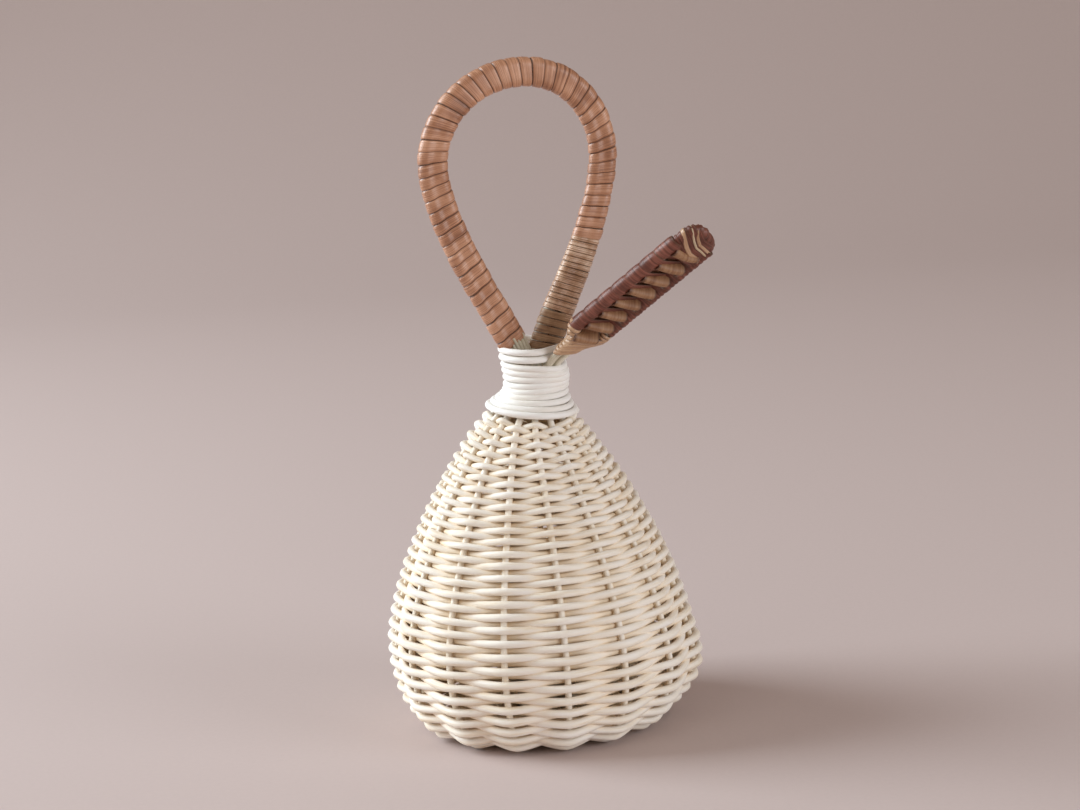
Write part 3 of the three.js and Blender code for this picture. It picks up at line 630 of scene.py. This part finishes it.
# Leg wrap: fine, fibrous strips of yellower cane, wound close on the right leg below the satin peel,
# then a few loose turns of a broader strip that end just above the neck.
FINE_PITCH = 1.45
FINE_SPACE = 0.05
FINE_THICKNESS = 0.42
FINE_STRINGS = 3
FINE_STRING_RISE = 0.05
FINE_DROP = 0.12
FINE_LEAD = 0.2
FINE_SINK = 0.07
FINE_SINK_FADE = 0.6
FINE_LOOSE = 0.06
END_TIE_PITCH = 2.1
END_TIE_WIDTH = 1.95
END_TIE_THICKNESS = 0.4
END_TIE_DROP = 0.14
END_TIE_GIRTH = 1.14
END_TIE_LOOSE = 0.1
FIBRE_TONES = ((0.14, 0.06, 0.028), (0.50, 0.27, 0.145), (0.9, 0.68, 0.50))
# Darker tones of the end tie at the foot of the right leg: painted shade.
SHADED_TIE_TONES = ((0.10, 0.045, 0.022), (0.32, 0.18, 0.095), (0.52, 0.35, 0.21))
fine_place = np.linspace(-1, 1, 13)
fine_strings = FINE_STRING_RISE * np.cos(FINE_STRINGS * math.pi * fine_place)
fine_profile = FINE_THICKNESS + fine_strings - FINE_DROP * np.abs(fine_place) ** 5
fibrous_peel = fibre_finish(
    "fibrous_peel", FIBRE_TONES,
    roughness=0.36, along=0.3, around=9, relief=0.16, blotch=300, edge=PEEL_SEAM_SHADE, coat=0.6,
)
fine_start = wrap_end - FINE_LEAD - FINE_PITCH


def fine_slim(run):
    """The first fine turn lies low, under the end of the satin peel."""
    return loop_slim(run) * (1 - FINE_SINK * ease((wrap_end - run) / FINE_SINK_FADE))


fine_rows = wind(fine_start, tie_top, FINE_PITCH, FINE_PITCH - FINE_SPACE, fine_profile,
                 fine_slim, loop_valley, FINE_LOOSE)
lay_strip("leg_wrap", fine_rows, FINE_THICKNESS, fibrous_peel, "fibre", "handle_leg_wrap")
end_tie_profile = crown(9, top=END_TIE_THICKNESS, drop=END_TIE_DROP)
end_tie_rows = wind(tie_top, leg_end, END_TIE_PITCH, END_TIE_WIDTH, end_tie_profile,
                    lambda run: END_TIE_GIRTH, loose=END_TIE_LOOSE)
# The end tie's finish: dull, with the darker tones of painted shade.
dull_shaded_peel = fibre_finish(
    "dull_shaded_peel", SHADED_TIE_TONES,
    roughness=0.5, along=0.4, around=9, relief=0.12, blotch=300, edge=PEEL_SEAM_SHADE,
)
lay_strip("leg_end_tie", end_tie_rows, END_TIE_THICKNESS, dull_shaded_peel, "peel", "handle_end_tie")


# Leaf rod: one thin rod bent round to a long narrow leaf. Both its ends run side by side into the
# neck as the stem of the leaf, which leans out to the front and shows its underside.
RIM_RADIUS = 0.9
RIM_STEP = 0.9
RIM_SIDES = 12
LEAF_BASE = np.array([12.5, -7.8, 100.8])
LEAF_LENGTH = 47.5
LEAF_HALF = 5.1
LEAF_SHOULDER = 7
LEAF_RISE, LEAF_SWING, LEAF_ROLL = (math.radians(angle) for angle in (37, -24.4, -35))
STEM_GAP = 1.05
STEM_POINTS = [[4.2, -3.4, 88], [5.6, -4.4, 92.5], [7.5, -5.5, 96.1]]
STEM_LEAD = 4.0
TIP_SKEW = 0.4
SKEW_START = 36
SKEW_FADE = 8
LEAF_ALONG = np.array([
    math.cos(LEAF_RISE) * math.cos(LEAF_SWING),
    math.cos(LEAF_RISE) * math.sin(LEAF_SWING),
    math.sin(LEAF_RISE),
])
flat_across = np.cross(LEAF_ALONG, UP)
flat_across /= np.linalg.norm(flat_across)
LEAF_ACROSS = flat_across * math.cos(LEAF_ROLL) + np.cross(LEAF_ALONG, flat_across) * math.sin(LEAF_ROLL)
LEAF_FACE = np.cross(LEAF_ALONG, LEAF_ACROSS)
leaf_tip = LEAF_LENGTH - LEAF_HALF


def on_leaf(along, across, face):
    """Points at lengths along the leaf, across it towards its near edge and out of its visible face."""
    along, across, face = np.broadcast_arrays(np.asarray(along, float), across, face)
    along = along + TIP_SKEW * np.maximum(across, 0) * ease((along - SKEW_START) / SKEW_FADE)
    flat = along[..., None] * LEAF_ALONG + across[..., None] * LEAF_ACROSS
    return LEAF_BASE + (flat + face[..., None] * LEAF_FACE)


near_side = np.vstack([
    bend((0, STEM_GAP), (0.5 * LEAF_SHOULDER, STEM_GAP), (0.6 * LEAF_SHOULDER, LEAF_HALF),
         (LEAF_SHOULDER, LEAF_HALF)),
    np.linspace((LEAF_SHOULDER, LEAF_HALF), (leaf_tip, LEAF_HALF), 24)[:-1],
])
tip_turn = np.linspace(math.pi / 2, -math.pi / 2, 24)
rim = np.vstack([
    near_side,
    np.column_stack([leaf_tip + LEAF_HALF * np.cos(tip_turn), LEAF_HALF * np.sin(tip_turn)]),
    near_side[::-1] * (1, -1),
])
stem_way = np.vstack([STEM_POINTS, on_leaf(-STEM_LEAD, 0.0, 0.0)[None]])
near_stem = stem_way + STEM_GAP * LEAF_ACROSS
far_stem = stem_way - STEM_GAP * LEAF_ACROSS
rim_line = np.vstack([near_stem, on_leaf(rim[:, 0], rim[:, 1], 0), far_stem[::-1]])
lay_cane("leaf_rod", even_line(rim_line, RIM_STEP), RIM_RADIUS, RIM_SIDES, pith, "pith", "leaf_rim")


# Leaf lacing: a dark strip of skinned cane laced from rod to rod in a figure of eight. Its smooth
# skin shows on the near rod and its split, stringy back on the far one.
LACE_PITCH = 5.0
LACE_TURNS = 7
LACE_START = 8.3
LACE_THICKNESS = 0.42
LACE_LIFT = 0.45
LACE_WIDE = 5.2
LACE_NARROW = 4.2
NARROW_FROM, NARROW_FADE = 0.8, 0.35
TIP_WIDER = 0.14
WIDER_FROM, WIDER_FADE = 9, 3
NEAR_SWELL = 0.45
LACE_STEPS = 14
CROSS_STEPS = 7
ON_ROD_SHARE, ON_CROSS_SHARE = 0.2, 0.3
SKIN_DROP = 0.34
LACE_STRINGS = 4
STRING_RISE = 0.1
STRING_SINK = 0.05
STRING_DROP = 0.1
STRINGY_FROM, STRINGY_FADE = 0.7, 0.4
DARK_TONES = ((0.055, 0.013, 0.006), (0.14, 0.038, 0.021), (0.29, 0.098, 0.064))
DARK_EDGE = (0.13, 0.06, 0.032)
NEAR_SWING, FAR_SWING = math.radians(122), math.radians(155)


def ribbon(middle, out, width, profile):
    """Rows of points for a strip: its middle line, the way its face looks, its width and its profile."""
    way = np.gradient(middle, axis=0)
    way /= np.linalg.norm(way, axis=1)[:, None]
    out = out - way * np.sum(out * way, axis=1)[:, None]
    out /= np.linalg.norm(out, axis=1)[:, None]
    side = np.cross(way, out)
    places = np.linspace(-0.5, 0.5, profile.shape[-1])
    across = places[None, :, None] * np.broadcast_to(width, len(middle))[:, None, None] * side[:, None]
    raised = np.broadcast_to(profile, (len(middle), len(places)))[..., None] * out[:, None]
    return middle[:, None] + across + raised


def leaf_way(angle):
    """The way out of a strand wound round the length of the leaf, at an angle from its near edge."""
    return np.cos(angle)[:, None] * LEAF_ACROSS + np.sin(angle)[:, None] * LEAF_FACE


half_steps = LACE_STEPS + CROSS_STEPS
lace_half, lace_step = np.divmod(np.arange(2 * LACE_TURNS * half_steps), half_steps)
lace_side = 1 - 2 * (lace_half % 2)
on_rod = np.minimum(lace_step / LACE_STEPS, 1)
on_cross = np.maximum(lace_step - LACE_STEPS, 0) / CROSS_STEPS
swings = np.where(lace_side > 0, NEAR_SWING, FAR_SWING)
next_swings = np.where(lace_side > 0, FAR_SWING, NEAR_SWING)
radii = RIM_RADIUS + LACE_LIFT + NEAR_SWELL * (lace_side > 0)
next_radii = RIM_RADIUS + LACE_LIFT + NEAR_SWELL * (lace_side < 0)
lace_angle = swings * (2 * on_rod - 1)
leave = np.stack([LEAF_HALF + radii * np.cos(lace_angle), radii * np.sin(lace_angle)])
reach = np.stack([-LEAF_HALF - next_radii * np.cos(next_swings), -next_radii * np.sin(next_swings)])
lace_across, lace_face = leave * (1 - on_cross) + reach * on_cross
lace_middle = on_leaf(
    LACE_START + LACE_PITCH * (lace_half / 2 + ON_ROD_SHARE * on_rod + ON_CROSS_SHARE * on_cross),
    lace_side * lace_across,
    lace_face,
)
lace_reach = np.abs(lace_angle) / swings + np.minimum(on_cross, 1 - on_cross)
lace_width = LACE_WIDE - (LACE_WIDE - LACE_NARROW) * ease((lace_reach - NARROW_FROM) / NARROW_FADE)
lace_width = lace_width * (1 + TIP_WIDER * ease((lace_half - WIDER_FROM) / WIDER_FADE))
lace_turned = lace_side * (lace_angle * (1 - on_cross) + next_swings * on_cross)
lace_place = np.linspace(-1, 1, 17)
skin = -SKIN_DROP * np.abs(lace_place) ** 4
strings = STRING_RISE * np.cos(LACE_STRINGS * math.pi * lace_place) - STRING_SINK
strings -= STRING_DROP * np.abs(lace_place) ** 6
stringy = (1 - ease((lace_reach - STRINGY_FROM) / STRINGY_FADE)) * (lace_side < 0)
lace_profile = skin + stringy[:, None] * (strings - skin)
dark_peel = fibre_finish(
    "dark_peel", DARK_TONES,
    roughness=0.42, along=0.5, around=8, relief=0.14, blotch=220, edge=DARK_EDGE,
)
lace_rows = ribbon(lace_middle, leaf_way(lace_turned), lace_width, lace_profile)
lay_strip("leaf_lace", lace_rows, LACE_THICKNESS, dark_peel, "dark_peel", "leaf_lacing", offset=0)


# Leaf midrib: a broad tan strip down the middle of the leaf, over one crossing of the lacing and
# under the next, so that it shows as a row of petals. Its near edge lies on the near rod's lacing.
RIB_WIDTH = 7.0
RIB_NEAR = 4.6
RIB_NARROW = 0.45
RIB_THICKNESS = 0.4
RIB_START, RIB_END_SPACE, RIB_PACE = 3, 4, 0.25
RIB_WAVE = 1.6
RIB_SQUARE = 1.4
RIB_PHASE = 0.35
RIB_LIFT = 0.85
RIB_CROWN = 0.25
RIB_SLANT = 0.8
RIB_TILT = 0.1
OPEN_FROM, OPEN_FADE = -0.6, 1.1
TAPER_FROM, TAPER_FADE = -2, 9
TAN_TONES = ((0.34, 0.17, 0.085), (0.52, 0.30, 0.165), (0.68, 0.46, 0.285))
# Dark edges of the tan strips: painted shade in the seams between turns.
TAN_SEAM_SHADE = (0.10, 0.04, 0.02)
# Shares that darken the midrib's tan: painted shade, for the shade it lies in between the rods.
RIB_PAINTED_SHADE = (0.57, 0.47, 0.39)
tan_peel = fibre_finish(
    "tan_peel", TAN_TONES,
    roughness=0.36, along=0.5, around=9, relief=0.12, blotch=200, edge=TAN_SEAM_SHADE, coat=0.5, edge_share=0.16,
)
# Shaded copies of the tan tones for the midrib: painted shade.
rib_shaded_tones = tuple(tuple(share * part for share, part in zip(RIB_PAINTED_SHADE, tone)) for tone in TAN_TONES)
rib_shaded_peel = fibre_finish(
    "rib_shaded_peel", rib_shaded_tones,
    roughness=0.5, along=0.5, around=11, relief=0.25, blotch=300, edge=TAN_SEAM_SHADE, edge_share=0.1,
)
rib_along = np.arange(RIB_START, LEAF_LENGTH - RIB_END_SPACE, RIB_PACE)
rib_phase = (rib_along - LACE_START) / LACE_PITCH - RIB_PHASE + wander(len(rib_along), every=20, reach=0.05)
rib_wave = np.tanh(RIB_SQUARE * np.cos(2 * math.pi * rib_phase)) / math.tanh(RIB_SQUARE)
rib_place = np.linspace(1, -1, 11)
rib_near = RIB_NEAR * (RIB_NARROW + (1 - RIB_NARROW) * ease((rib_wave - OPEN_FROM) / OPEN_FADE))
rib_far = RIB_WIDTH / 2 + wander(len(rib_along), every=12, reach=0.3)
rib_half = np.where(rib_place > 0, rib_near[:, None], rib_far[:, None])
rib_rows = on_leaf(
    rib_along[:, None] - RIB_SLANT * rib_place,
    rib_half * rib_place * ease((rib_along[:, None] - TAPER_FROM) / TAPER_FADE),
    (RIB_LIFT + RIB_WAVE * rib_wave)[:, None] + crown(11, top=RIB_CROWN, drop=RIB_CROWN)
    + RIB_TILT * np.maximum(rib_place, 0),
)
lay_strip("leaf_midrib_strip", rib_rows, RIB_THICKNESS, rib_shaded_peel, "tan_peel", "leaf_midrib")


# Leaf foot: tan strips wound round each rod where the leaf opens, fuller towards the lacing, and a
# slanting tie of broad turns that holds both rods together below them.
COIL_STEPS = 26
COIL_LIFT = 0.3
COIL_THICKNESS = 0.35
COIL_LAP = 1.02
TIE_START = -3.4
TIE_TURNS = 6
TIE_PITCH = 1.15
TIE_LAP = 1.15
TIE_SLANT = 4.6
TIE_LIFT = 0.75
TIE_SQUARE = 2.5
TIE_THICKNESS = 0.4
foot_profile = crown(9, top=0.25, drop=0.4)


def rod_spread(along):
    """Half the distance between the rods of the leaf."""
    return np.interp(along, near_side[:, 0], near_side[:, 1])


def coil_rod(name, side, start, end, turns, swell):
    """A strip wound round one rod of the leaf, which swells towards its end."""
    turn = np.arange(turns * COIL_STEPS + 1) / COIL_STEPS
    along = start + (end - start) * turn / turns
    radius = RIM_RADIUS + COIL_LIFT + swell * turn / turns
    angle = 2 * math.pi * turn
    middle = on_leaf(along, side * rod_spread(along) + radius * np.cos(angle), radius * np.sin(angle))
    rows = ribbon(middle, leaf_way(angle), COIL_LAP * (end - start) / turns, foot_profile)
    lay_strip(name, rows, COIL_THICKNESS, tan_peel, "tan_peel")


coil_rod("leaf_near_foot", side=1, start=1.6, end=7.2, turns=4, swell=0.65)
coil_rod("leaf_far_foot", side=-1, start=4.4, end=8.8, turns=4, swell=0.2)
tie_turn = np.arange(TIE_TURNS * COIL_STEPS + 1) / COIL_STEPS
tie_angle = 2 * math.pi * tie_turn
tie_along = TIE_START + TIE_PITCH * tie_turn + TIE_SLANT * (1 - np.cos(tie_angle)) / 2
tie_grip = RIM_RADIUS + TIE_LIFT
tie_middle = on_leaf(
    tie_along,
    rod_spread(tie_along) * np.tanh(TIE_SQUARE * np.cos(tie_angle)) + tie_grip * np.cos(tie_angle),
    tie_grip * np.sin(tie_angle),
)
tie_rows = ribbon(tie_middle, leaf_way(tie_angle), TIE_LAP * TIE_PITCH, foot_profile)
lay_strip("leaf_foot_tie", tie_rows, TIE_THICKNESS, tan_peel, "tan_peel", "leaf_tie")


# Leaf tip: dark strips wound close round the whole tip and round the bend of the rod at its end,
# with two tan strips and a cream one laid over them.
TIP_START = 38.9
TIP_PITCH = 1.15
TIP_TURNS = 7
TIP_LAP = 1.6
TIP_SLANT = 1.6
TIP_FLAT = 0.2
TIP_SQUARE = 0.7
TIP_LEAST = 0.2
QUARTER_TURN = 0.25
OVER_TURNS = 1.05
OVER_PITCH = 0.3
OVER_GRIP = 1.4
BEND_TURNS = 6
BEND_REACH = math.radians(130)
BEND_LIFT = 0.3
TIP_THICKNESS = 0.35
CREAM_TONES = (TAN_TONES[1], (0.62, 0.50, 0.33), (0.74, 0.64, 0.47))
cream_peel = fibre_finish("cream_peel", CREAM_TONES, roughness=0.45, along=0.5, around=9, relief=0.1)


def wind_tip(name, start, turns, pitch, slant, width, grip, finish, slot):
    """A strip wound round both rods near the tip of the leaf, where they close in."""
    turn = np.arange(int(turns * COIL_STEPS) + 1) / COIL_STEPS
    angle = 2 * math.pi * (turn - QUARTER_TURN)
    along = start + pitch * turn + slant * np.cos(angle)
    half = np.sqrt(np.maximum(LEAF_HALF ** 2 - np.maximum(along - leaf_tip, 0) ** 2, TIP_LEAST)) + grip
    across = half * np.sign(np.cos(angle)) * np.abs(np.cos(angle)) ** TIP_SQUARE
    face = (TIP_FLAT + grip) * np.sign(np.sin(angle)) * np.abs(np.sin(angle)) ** TIP_SQUARE
    rows = ribbon(on_leaf(along, across, face), leaf_way(angle), width, crown(7, top=0.2, drop=0.2))
    lay_strip(name, rows, TIP_THICKNESS, finish, slot)


wind_tip("leaf_tip_dark", TIP_START, TIP_TURNS, TIP_PITCH, slant=0.8, width=TIP_LAP * TIP_PITCH, grip=1.2,
         finish=dark_peel, slot="dark_peel")
for name, start, width, finish in (
    ("leaf_tip_tan_low", 41.6, 1.3, tan_peel),
    ("leaf_tip_cream", 44.0, 0.6, cream_peel),
    ("leaf_tip_tan_high", 45.2, 0.9, tan_peel),
):
    wind_tip(name, start, OVER_TURNS, OVER_PITCH, TIP_SLANT, width, OVER_GRIP, finish, "tan_peel")
bend_turn = np.arange(BEND_TURNS * COIL_STEPS + 1) / COIL_STEPS
bend_at = (bend_turn / BEND_TURNS - 0.5) * BEND_REACH
bend_angle = 2 * math.pi * (bend_turn - QUARTER_TURN)
bend_grip = RIM_RADIUS + BEND_LIFT
bend_reach = LEAF_HALF + bend_grip * np.cos(bend_angle)
bend_middle = on_leaf(
    leaf_tip + bend_reach * np.cos(bend_at),
    -bend_reach * np.sin(bend_at),
    bend_grip * np.sin(bend_angle),
)
bend_way = np.cos(bend_at)[:, None] * LEAF_ALONG - np.sin(bend_at)[:, None] * LEAF_ACROSS
bend_out = np.cos(bend_angle)[:, None] * bend_way + np.sin(bend_angle)[:, None] * LEAF_FACE
bend_width = BEND_REACH / BEND_TURNS * bend_reach
bend_rows = ribbon(bend_middle, bend_out, bend_width, crown(7, top=0.15, drop=0.12))
lay_strip("leaf_tip_turns", bend_rows, TIP_THICKNESS, dark_peel, "dark_peel", "leaf_tip_binding")


# Bell: a small jingle bell of two pressed cups with a wire eye, and a pellet loose inside, lying in
# the hollow of the body. Nickel, with fine drawing marks from the press.
BELL_RADIUS = 9
BELL_WALL = 0.6
BELL_LIP = 0.6
LIP_ANGLE = math.radians(7.2)
HALF_SEAM = 0.15
SLOT_WIDTH = 1.6
SLOT_HALF = 6.2
EYE_WIRE = 0.55
EYE_RADIUS = 2
PELLET_RADIUS = 2.8
BELL_SIDES = 64
CUP_STEPS = 24
BALL_SIDES, BALL_RINGS = 40, 20
BELL_CREASE = math.radians(35)
NICKEL_DEEP = (0.42, 0.40, 0.37)
NICKEL_PALE = (0.58, 0.56, 0.52)
nickel = bpy.data.materials.new("nickel")
nickel.use_nodes = True
nickel_nodes, nickel_links = nickel.node_tree.nodes, nickel.node_tree.links
nickel_shader = nickel_nodes["Principled BSDF"]
nickel_shader.inputs["Metallic"].default_value = 1
nickel_place = nickel_nodes.new("ShaderNodeTexCoord")
press_marks = nickel_nodes.new("ShaderNodeTexNoise")
press_marks.inputs["Scale"].default_value = 900
nickel_links.new(nickel_place.outputs["Object"], press_marks.inputs["Vector"])
nickel_tone = nickel_nodes.new("ShaderNodeValToRGB")
nickel_tone.color_ramp.elements[0].color = (*NICKEL_DEEP, 1)
nickel_tone.color_ramp.elements[1].color = (*NICKEL_PALE, 1)
nickel_links.new(press_marks.outputs["Fac"], nickel_tone.inputs["Fac"])
nickel_links.new(nickel_tone.outputs["Color"], nickel_shader.inputs["Base Color"])
nickel_gloss = nickel_nodes.new("ShaderNodeMapRange")
nickel_gloss.inputs["To Min"].default_value = 0.22
nickel_gloss.inputs["To Max"].default_value = 0.42
nickel_links.new(press_marks.outputs["Fac"], nickel_gloss.inputs["Value"])
nickel_links.new(nickel_gloss.outputs["Result"], nickel_shader.inputs["Roughness"])
bell_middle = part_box("bell_lower_cup")[1][2] / MM + HALF_SEAM


def finish_bell(piece, name, body, node):
    """Names a piece of the bell, gives it its finish and its body, and hides the CAD node it stands for."""
    piece.name = name
    piece.data.materials.append(nickel)
    bpy.ops.object.shade_smooth_by_angle(angle=BELL_CREASE)
    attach(piece, body)
    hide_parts(node)


def turn_section(radius, height, sides, start=0.0):
    """A piece turned round the axis of the bell, from a section that starts and ends on that axis."""
    turn = start + np.linspace(0, 2 * math.pi, sides, endpoint=False)[:, None]
    rings = np.stack([radius * np.cos(turn), radius * np.sin(turn), height + 0 * turn], axis=-1)
    corners = np.arange(rings[..., 0].size).reshape(sides, -1)
    beside = np.roll(corners, -1, axis=0)
    faces = np.stack([corners[:, :-1], beside[:, :-1], beside[:, 1:], corners[:, 1:]], axis=-1)
    mesh = bpy.data.meshes.new("bell_piece")
    mesh.from_pydata((rings * MM).reshape(-1, 3).tolist(), [], faces.reshape(-1, 4).tolist())
    piece = bpy.data.objects.new("bell_piece", mesh)
    bpy.context.collection.objects.link(piece)
    bpy.ops.object.select_all(action="DESELECT")
    piece.select_set(True)
    bpy.context.view_layer.objects.active = piece
    bpy.ops.object.mode_set(mode="EDIT")
    bpy.ops.mesh.select_all(action="SELECT")
    bpy.ops.mesh.remove_doubles(threshold=WELD * MM)
    bpy.ops.mesh.normals_make_consistent(inside=False)
    bpy.ops.object.mode_set(mode="OBJECT")
    return piece


def press_cup(sign):
    """One cup of the bell, with its wall and its lip."""
    quarter = np.linspace(math.pi / 2, LIP_ANGLE, CUP_STEPS)
    arc = np.column_stack([np.cos(quarter), np.sin(quarter)])
    lip_edge, inside = BELL_RADIUS + BELL_LIP, BELL_RADIUS - BELL_WALL
    lip = [(lip_edge, BELL_RADIUS * arc[-1, 1]), (lip_edge, HALF_SEAM), (inside, HALF_SEAM)]
    radius, height = np.vstack([BELL_RADIUS * arc, lip, inside * arc[::-1]]).T
    return turn_section(radius, bell_middle + sign * height, BELL_SIDES, 0.5 * math.pi / BELL_SIDES)


upper_cup = press_cup(1)
finish_bell(upper_cup, "bell_upper_shell", "bell", "bell_upper_cup")
lower_cup = press_cup(-1)
for angle in (math.pi / 4, 3 * math.pi / 4):
    bpy.ops.mesh.primitive_cube_add(
        size=1, location=(0, 0, (bell_middle - BELL_RADIUS) * MM), rotation=(0, 0, angle),
        scale=(2 * SLOT_HALF * MM, SLOT_WIDTH * MM, BELL_RADIUS * MM),
    )
    cutter = bpy.context.object
    slot_cut = lower_cup.modifiers.new("Slot", "BOOLEAN")
    slot_cut.object = cutter
    slot_cut.operation = "DIFFERENCE"
    cutter.select_set(False)
    lower_cup.select_set(True)
    bpy.context.view_layer.objects.active = lower_cup
    bpy.ops.object.modifier_apply(modifier=slot_cut.name)
    bpy.data.objects.remove(cutter)
finish_bell(lower_cup, "bell_lower_shell", "bell", "bell_lower_cup")
eye_low, eye_high = (Vector(corner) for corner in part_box("bell_eye"))
bpy.ops.mesh.primitive_torus_add(
    major_radius=EYE_RADIUS * MM, minor_radius=EYE_WIRE * MM, major_segments=48, minor_segments=16,
    location=(eye_low + eye_high) / 2, rotation=(math.pi / 2, 0, 0),
)
bpy.ops.object.transform_apply()
finish_bell(bpy.context.object, "bell_ring", "bell", "bell_eye")
pellet_low, pellet_high = (corner[2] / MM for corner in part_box("bell_pellet"))
from_pole = np.linspace(0, math.pi, BALL_RINGS + 1)
ball_height = (pellet_low + pellet_high) / 2 + PELLET_RADIUS * np.cos(from_pole)
ball = turn_section(PELLET_RADIUS * np.sin(from_pole), ball_height, BALL_SIDES)
finish_bell(ball, "bell_ball", "pellet", "bell_pellet")


# Table and backdrop: one sheet of pale mauve-beige card that bends up behind the object. The sizes
# from here on are in metres.
CARD = (0.59, 0.482, 0.455)
CARD_SHADE = 0.03
CARD_WIDTH, CARD_DEPTH = 5, 2.6
CARD_BACK = 0.1
CARD_RISE = (0, 0.5, 2.2)
CARD_FOLD = CARD_BACK + CARD_DEPTH / 2
FOLD_BEND = 0.7
bpy.ops.object.select_all(action="DESELECT")
bpy.ops.mesh.primitive_plane_add(size=1)
card = bpy.context.object
card.name = "card_backdrop"
bpy.ops.object.mode_set(mode="EDIT")
bpy.ops.transform.resize(value=(CARD_WIDTH, CARD_DEPTH, 1))
bpy.ops.transform.translate(value=(0, CARD_BACK, 0))
bpy.ops.mesh.select_all(action="DESELECT")
bpy.ops.object.mode_set(mode="OBJECT")


def pick_fold():
    """Selects the edge of the card along which it bends up."""
    for edge in card.data.edges:
        edge.select = all(abs(card.data.vertices[k].co.y - CARD_FOLD) < 0.1 for k in edge.vertices)
    bpy.ops.object.mode_set(mode="EDIT")


pick_fold()
bpy.ops.mesh.extrude_region_move(TRANSFORM_OT_translate={"value": CARD_RISE})
bpy.ops.object.mode_set(mode="OBJECT")
pick_fold()
bpy.ops.mesh.bevel(offset=FOLD_BEND, segments=16, affect="EDGES")
bpy.ops.object.mode_set(mode="OBJECT")
bpy.ops.object.shade_smooth()
paper = bpy.data.materials.new("mauve_card")
paper.use_nodes = True
paper_nodes, paper_links = paper.node_tree.nodes, paper.node_tree.links
paper_shader = paper_nodes["Principled BSDF"]
paper_shader.inputs["Roughness"].default_value = 0.85
paper_place = paper_nodes.new("ShaderNodeTexCoord")
paper_grain = paper_nodes.new("ShaderNodeTexNoise")
paper_grain.inputs["Scale"].default_value = 700
paper_grain.inputs["Detail"].default_value = 3
paper_links.new(paper_place.outputs["Object"], paper_grain.inputs["Vector"])
paper_tone = paper_nodes.new("ShaderNodeValToRGB")
paper_tone.color_ramp.elements[0].color = (*((1 - CARD_SHADE) * shade for shade in CARD), 1)
paper_tone.color_ramp.elements[1].color = (*((1 + CARD_SHADE) * shade for shade in CARD), 1)
paper_links.new(paper_grain.outputs["Fac"], paper_tone.inputs["Fac"])
paper_links.new(paper_tone.outputs["Color"], paper_shader.inputs["Base Color"])
card.data.materials.append(paper)


# Light and camera: a broad soft window at the upper left, a weak reflector in front of it, a fill from
# the right, and a long lens a little above the table, rolled so that the upright model leans as the
# object does in the photograph.
CAMERA_DISTANCE = 0.76
CAMERA_RISE = math.radians(11.75)
CAMERA_ROLL = math.radians(-3.8)
AIM = Vector((0.0037, 0, 0.0845))


def soft_box(name, place, aim, size, power, colour, spread=180):
    """A square area light at a place, turned towards its aim."""
    light = bpy.data.lights.new(name, "AREA")
    light.size = size
    light.spread = math.radians(spread)
    light.energy = power
    light.color = colour
    lamp = bpy.data.objects.new(name, light)
    turn = (Vector(aim) - Vector(place)).to_track_quat("-Z", "Y")
    lamp.matrix_world = Matrix.Translation(place) @ turn.to_matrix().to_4x4()
    bpy.context.collection.objects.link(lamp)


soft_box("window", place=(-1.08, 0.22, 0.66), aim=(0.3, 0.06, 0.03), size=0.8, power=12.4,
         colour=(0.82, 0.93, 1.0), spread=140)
soft_box("reflector", place=(-0.8, -0.75, 0.95), aim=(0, 0, 0.1), size=1.1, power=2.2,
         colour=(0.92, 0.97, 1.0))
soft_box("fill", place=(0.9, -0.6, 0.34), aim=(0, 0, 0.05), size=0.6, power=5.6,
         colour=(0.87, 0.94, 1.0))
world = bpy.data.worlds.new("room")
world.use_nodes = True
world.node_tree.nodes["Background"].inputs["Color"].default_value = (1.0, 0.82, 0.70, 1)
world.node_tree.nodes["Background"].inputs["Strength"].default_value = 0.32
bpy.context.scene.world = world
lens = bpy.data.cameras.new("camera")
lens.sensor_width = 36
lens.lens = 98
camera = bpy.data.objects.new("camera", lens)
stand = AIM + CAMERA_DISTANCE * Vector((0, -math.cos(CAMERA_RISE), math.sin(CAMERA_RISE)))
camera.matrix_world = (
    Matrix.Translation(stand)
    @ Matrix.Rotation(math.pi / 2 - CAMERA_RISE, 4, "X")
    @ Matrix.Rotation(CAMERA_ROLL, 4, "Z")
)
bpy.context.collection.objects.link(camera)
bpy.context.scene.camera = camera
bpy.context.scene.view_settings.view_transform = "Standard"
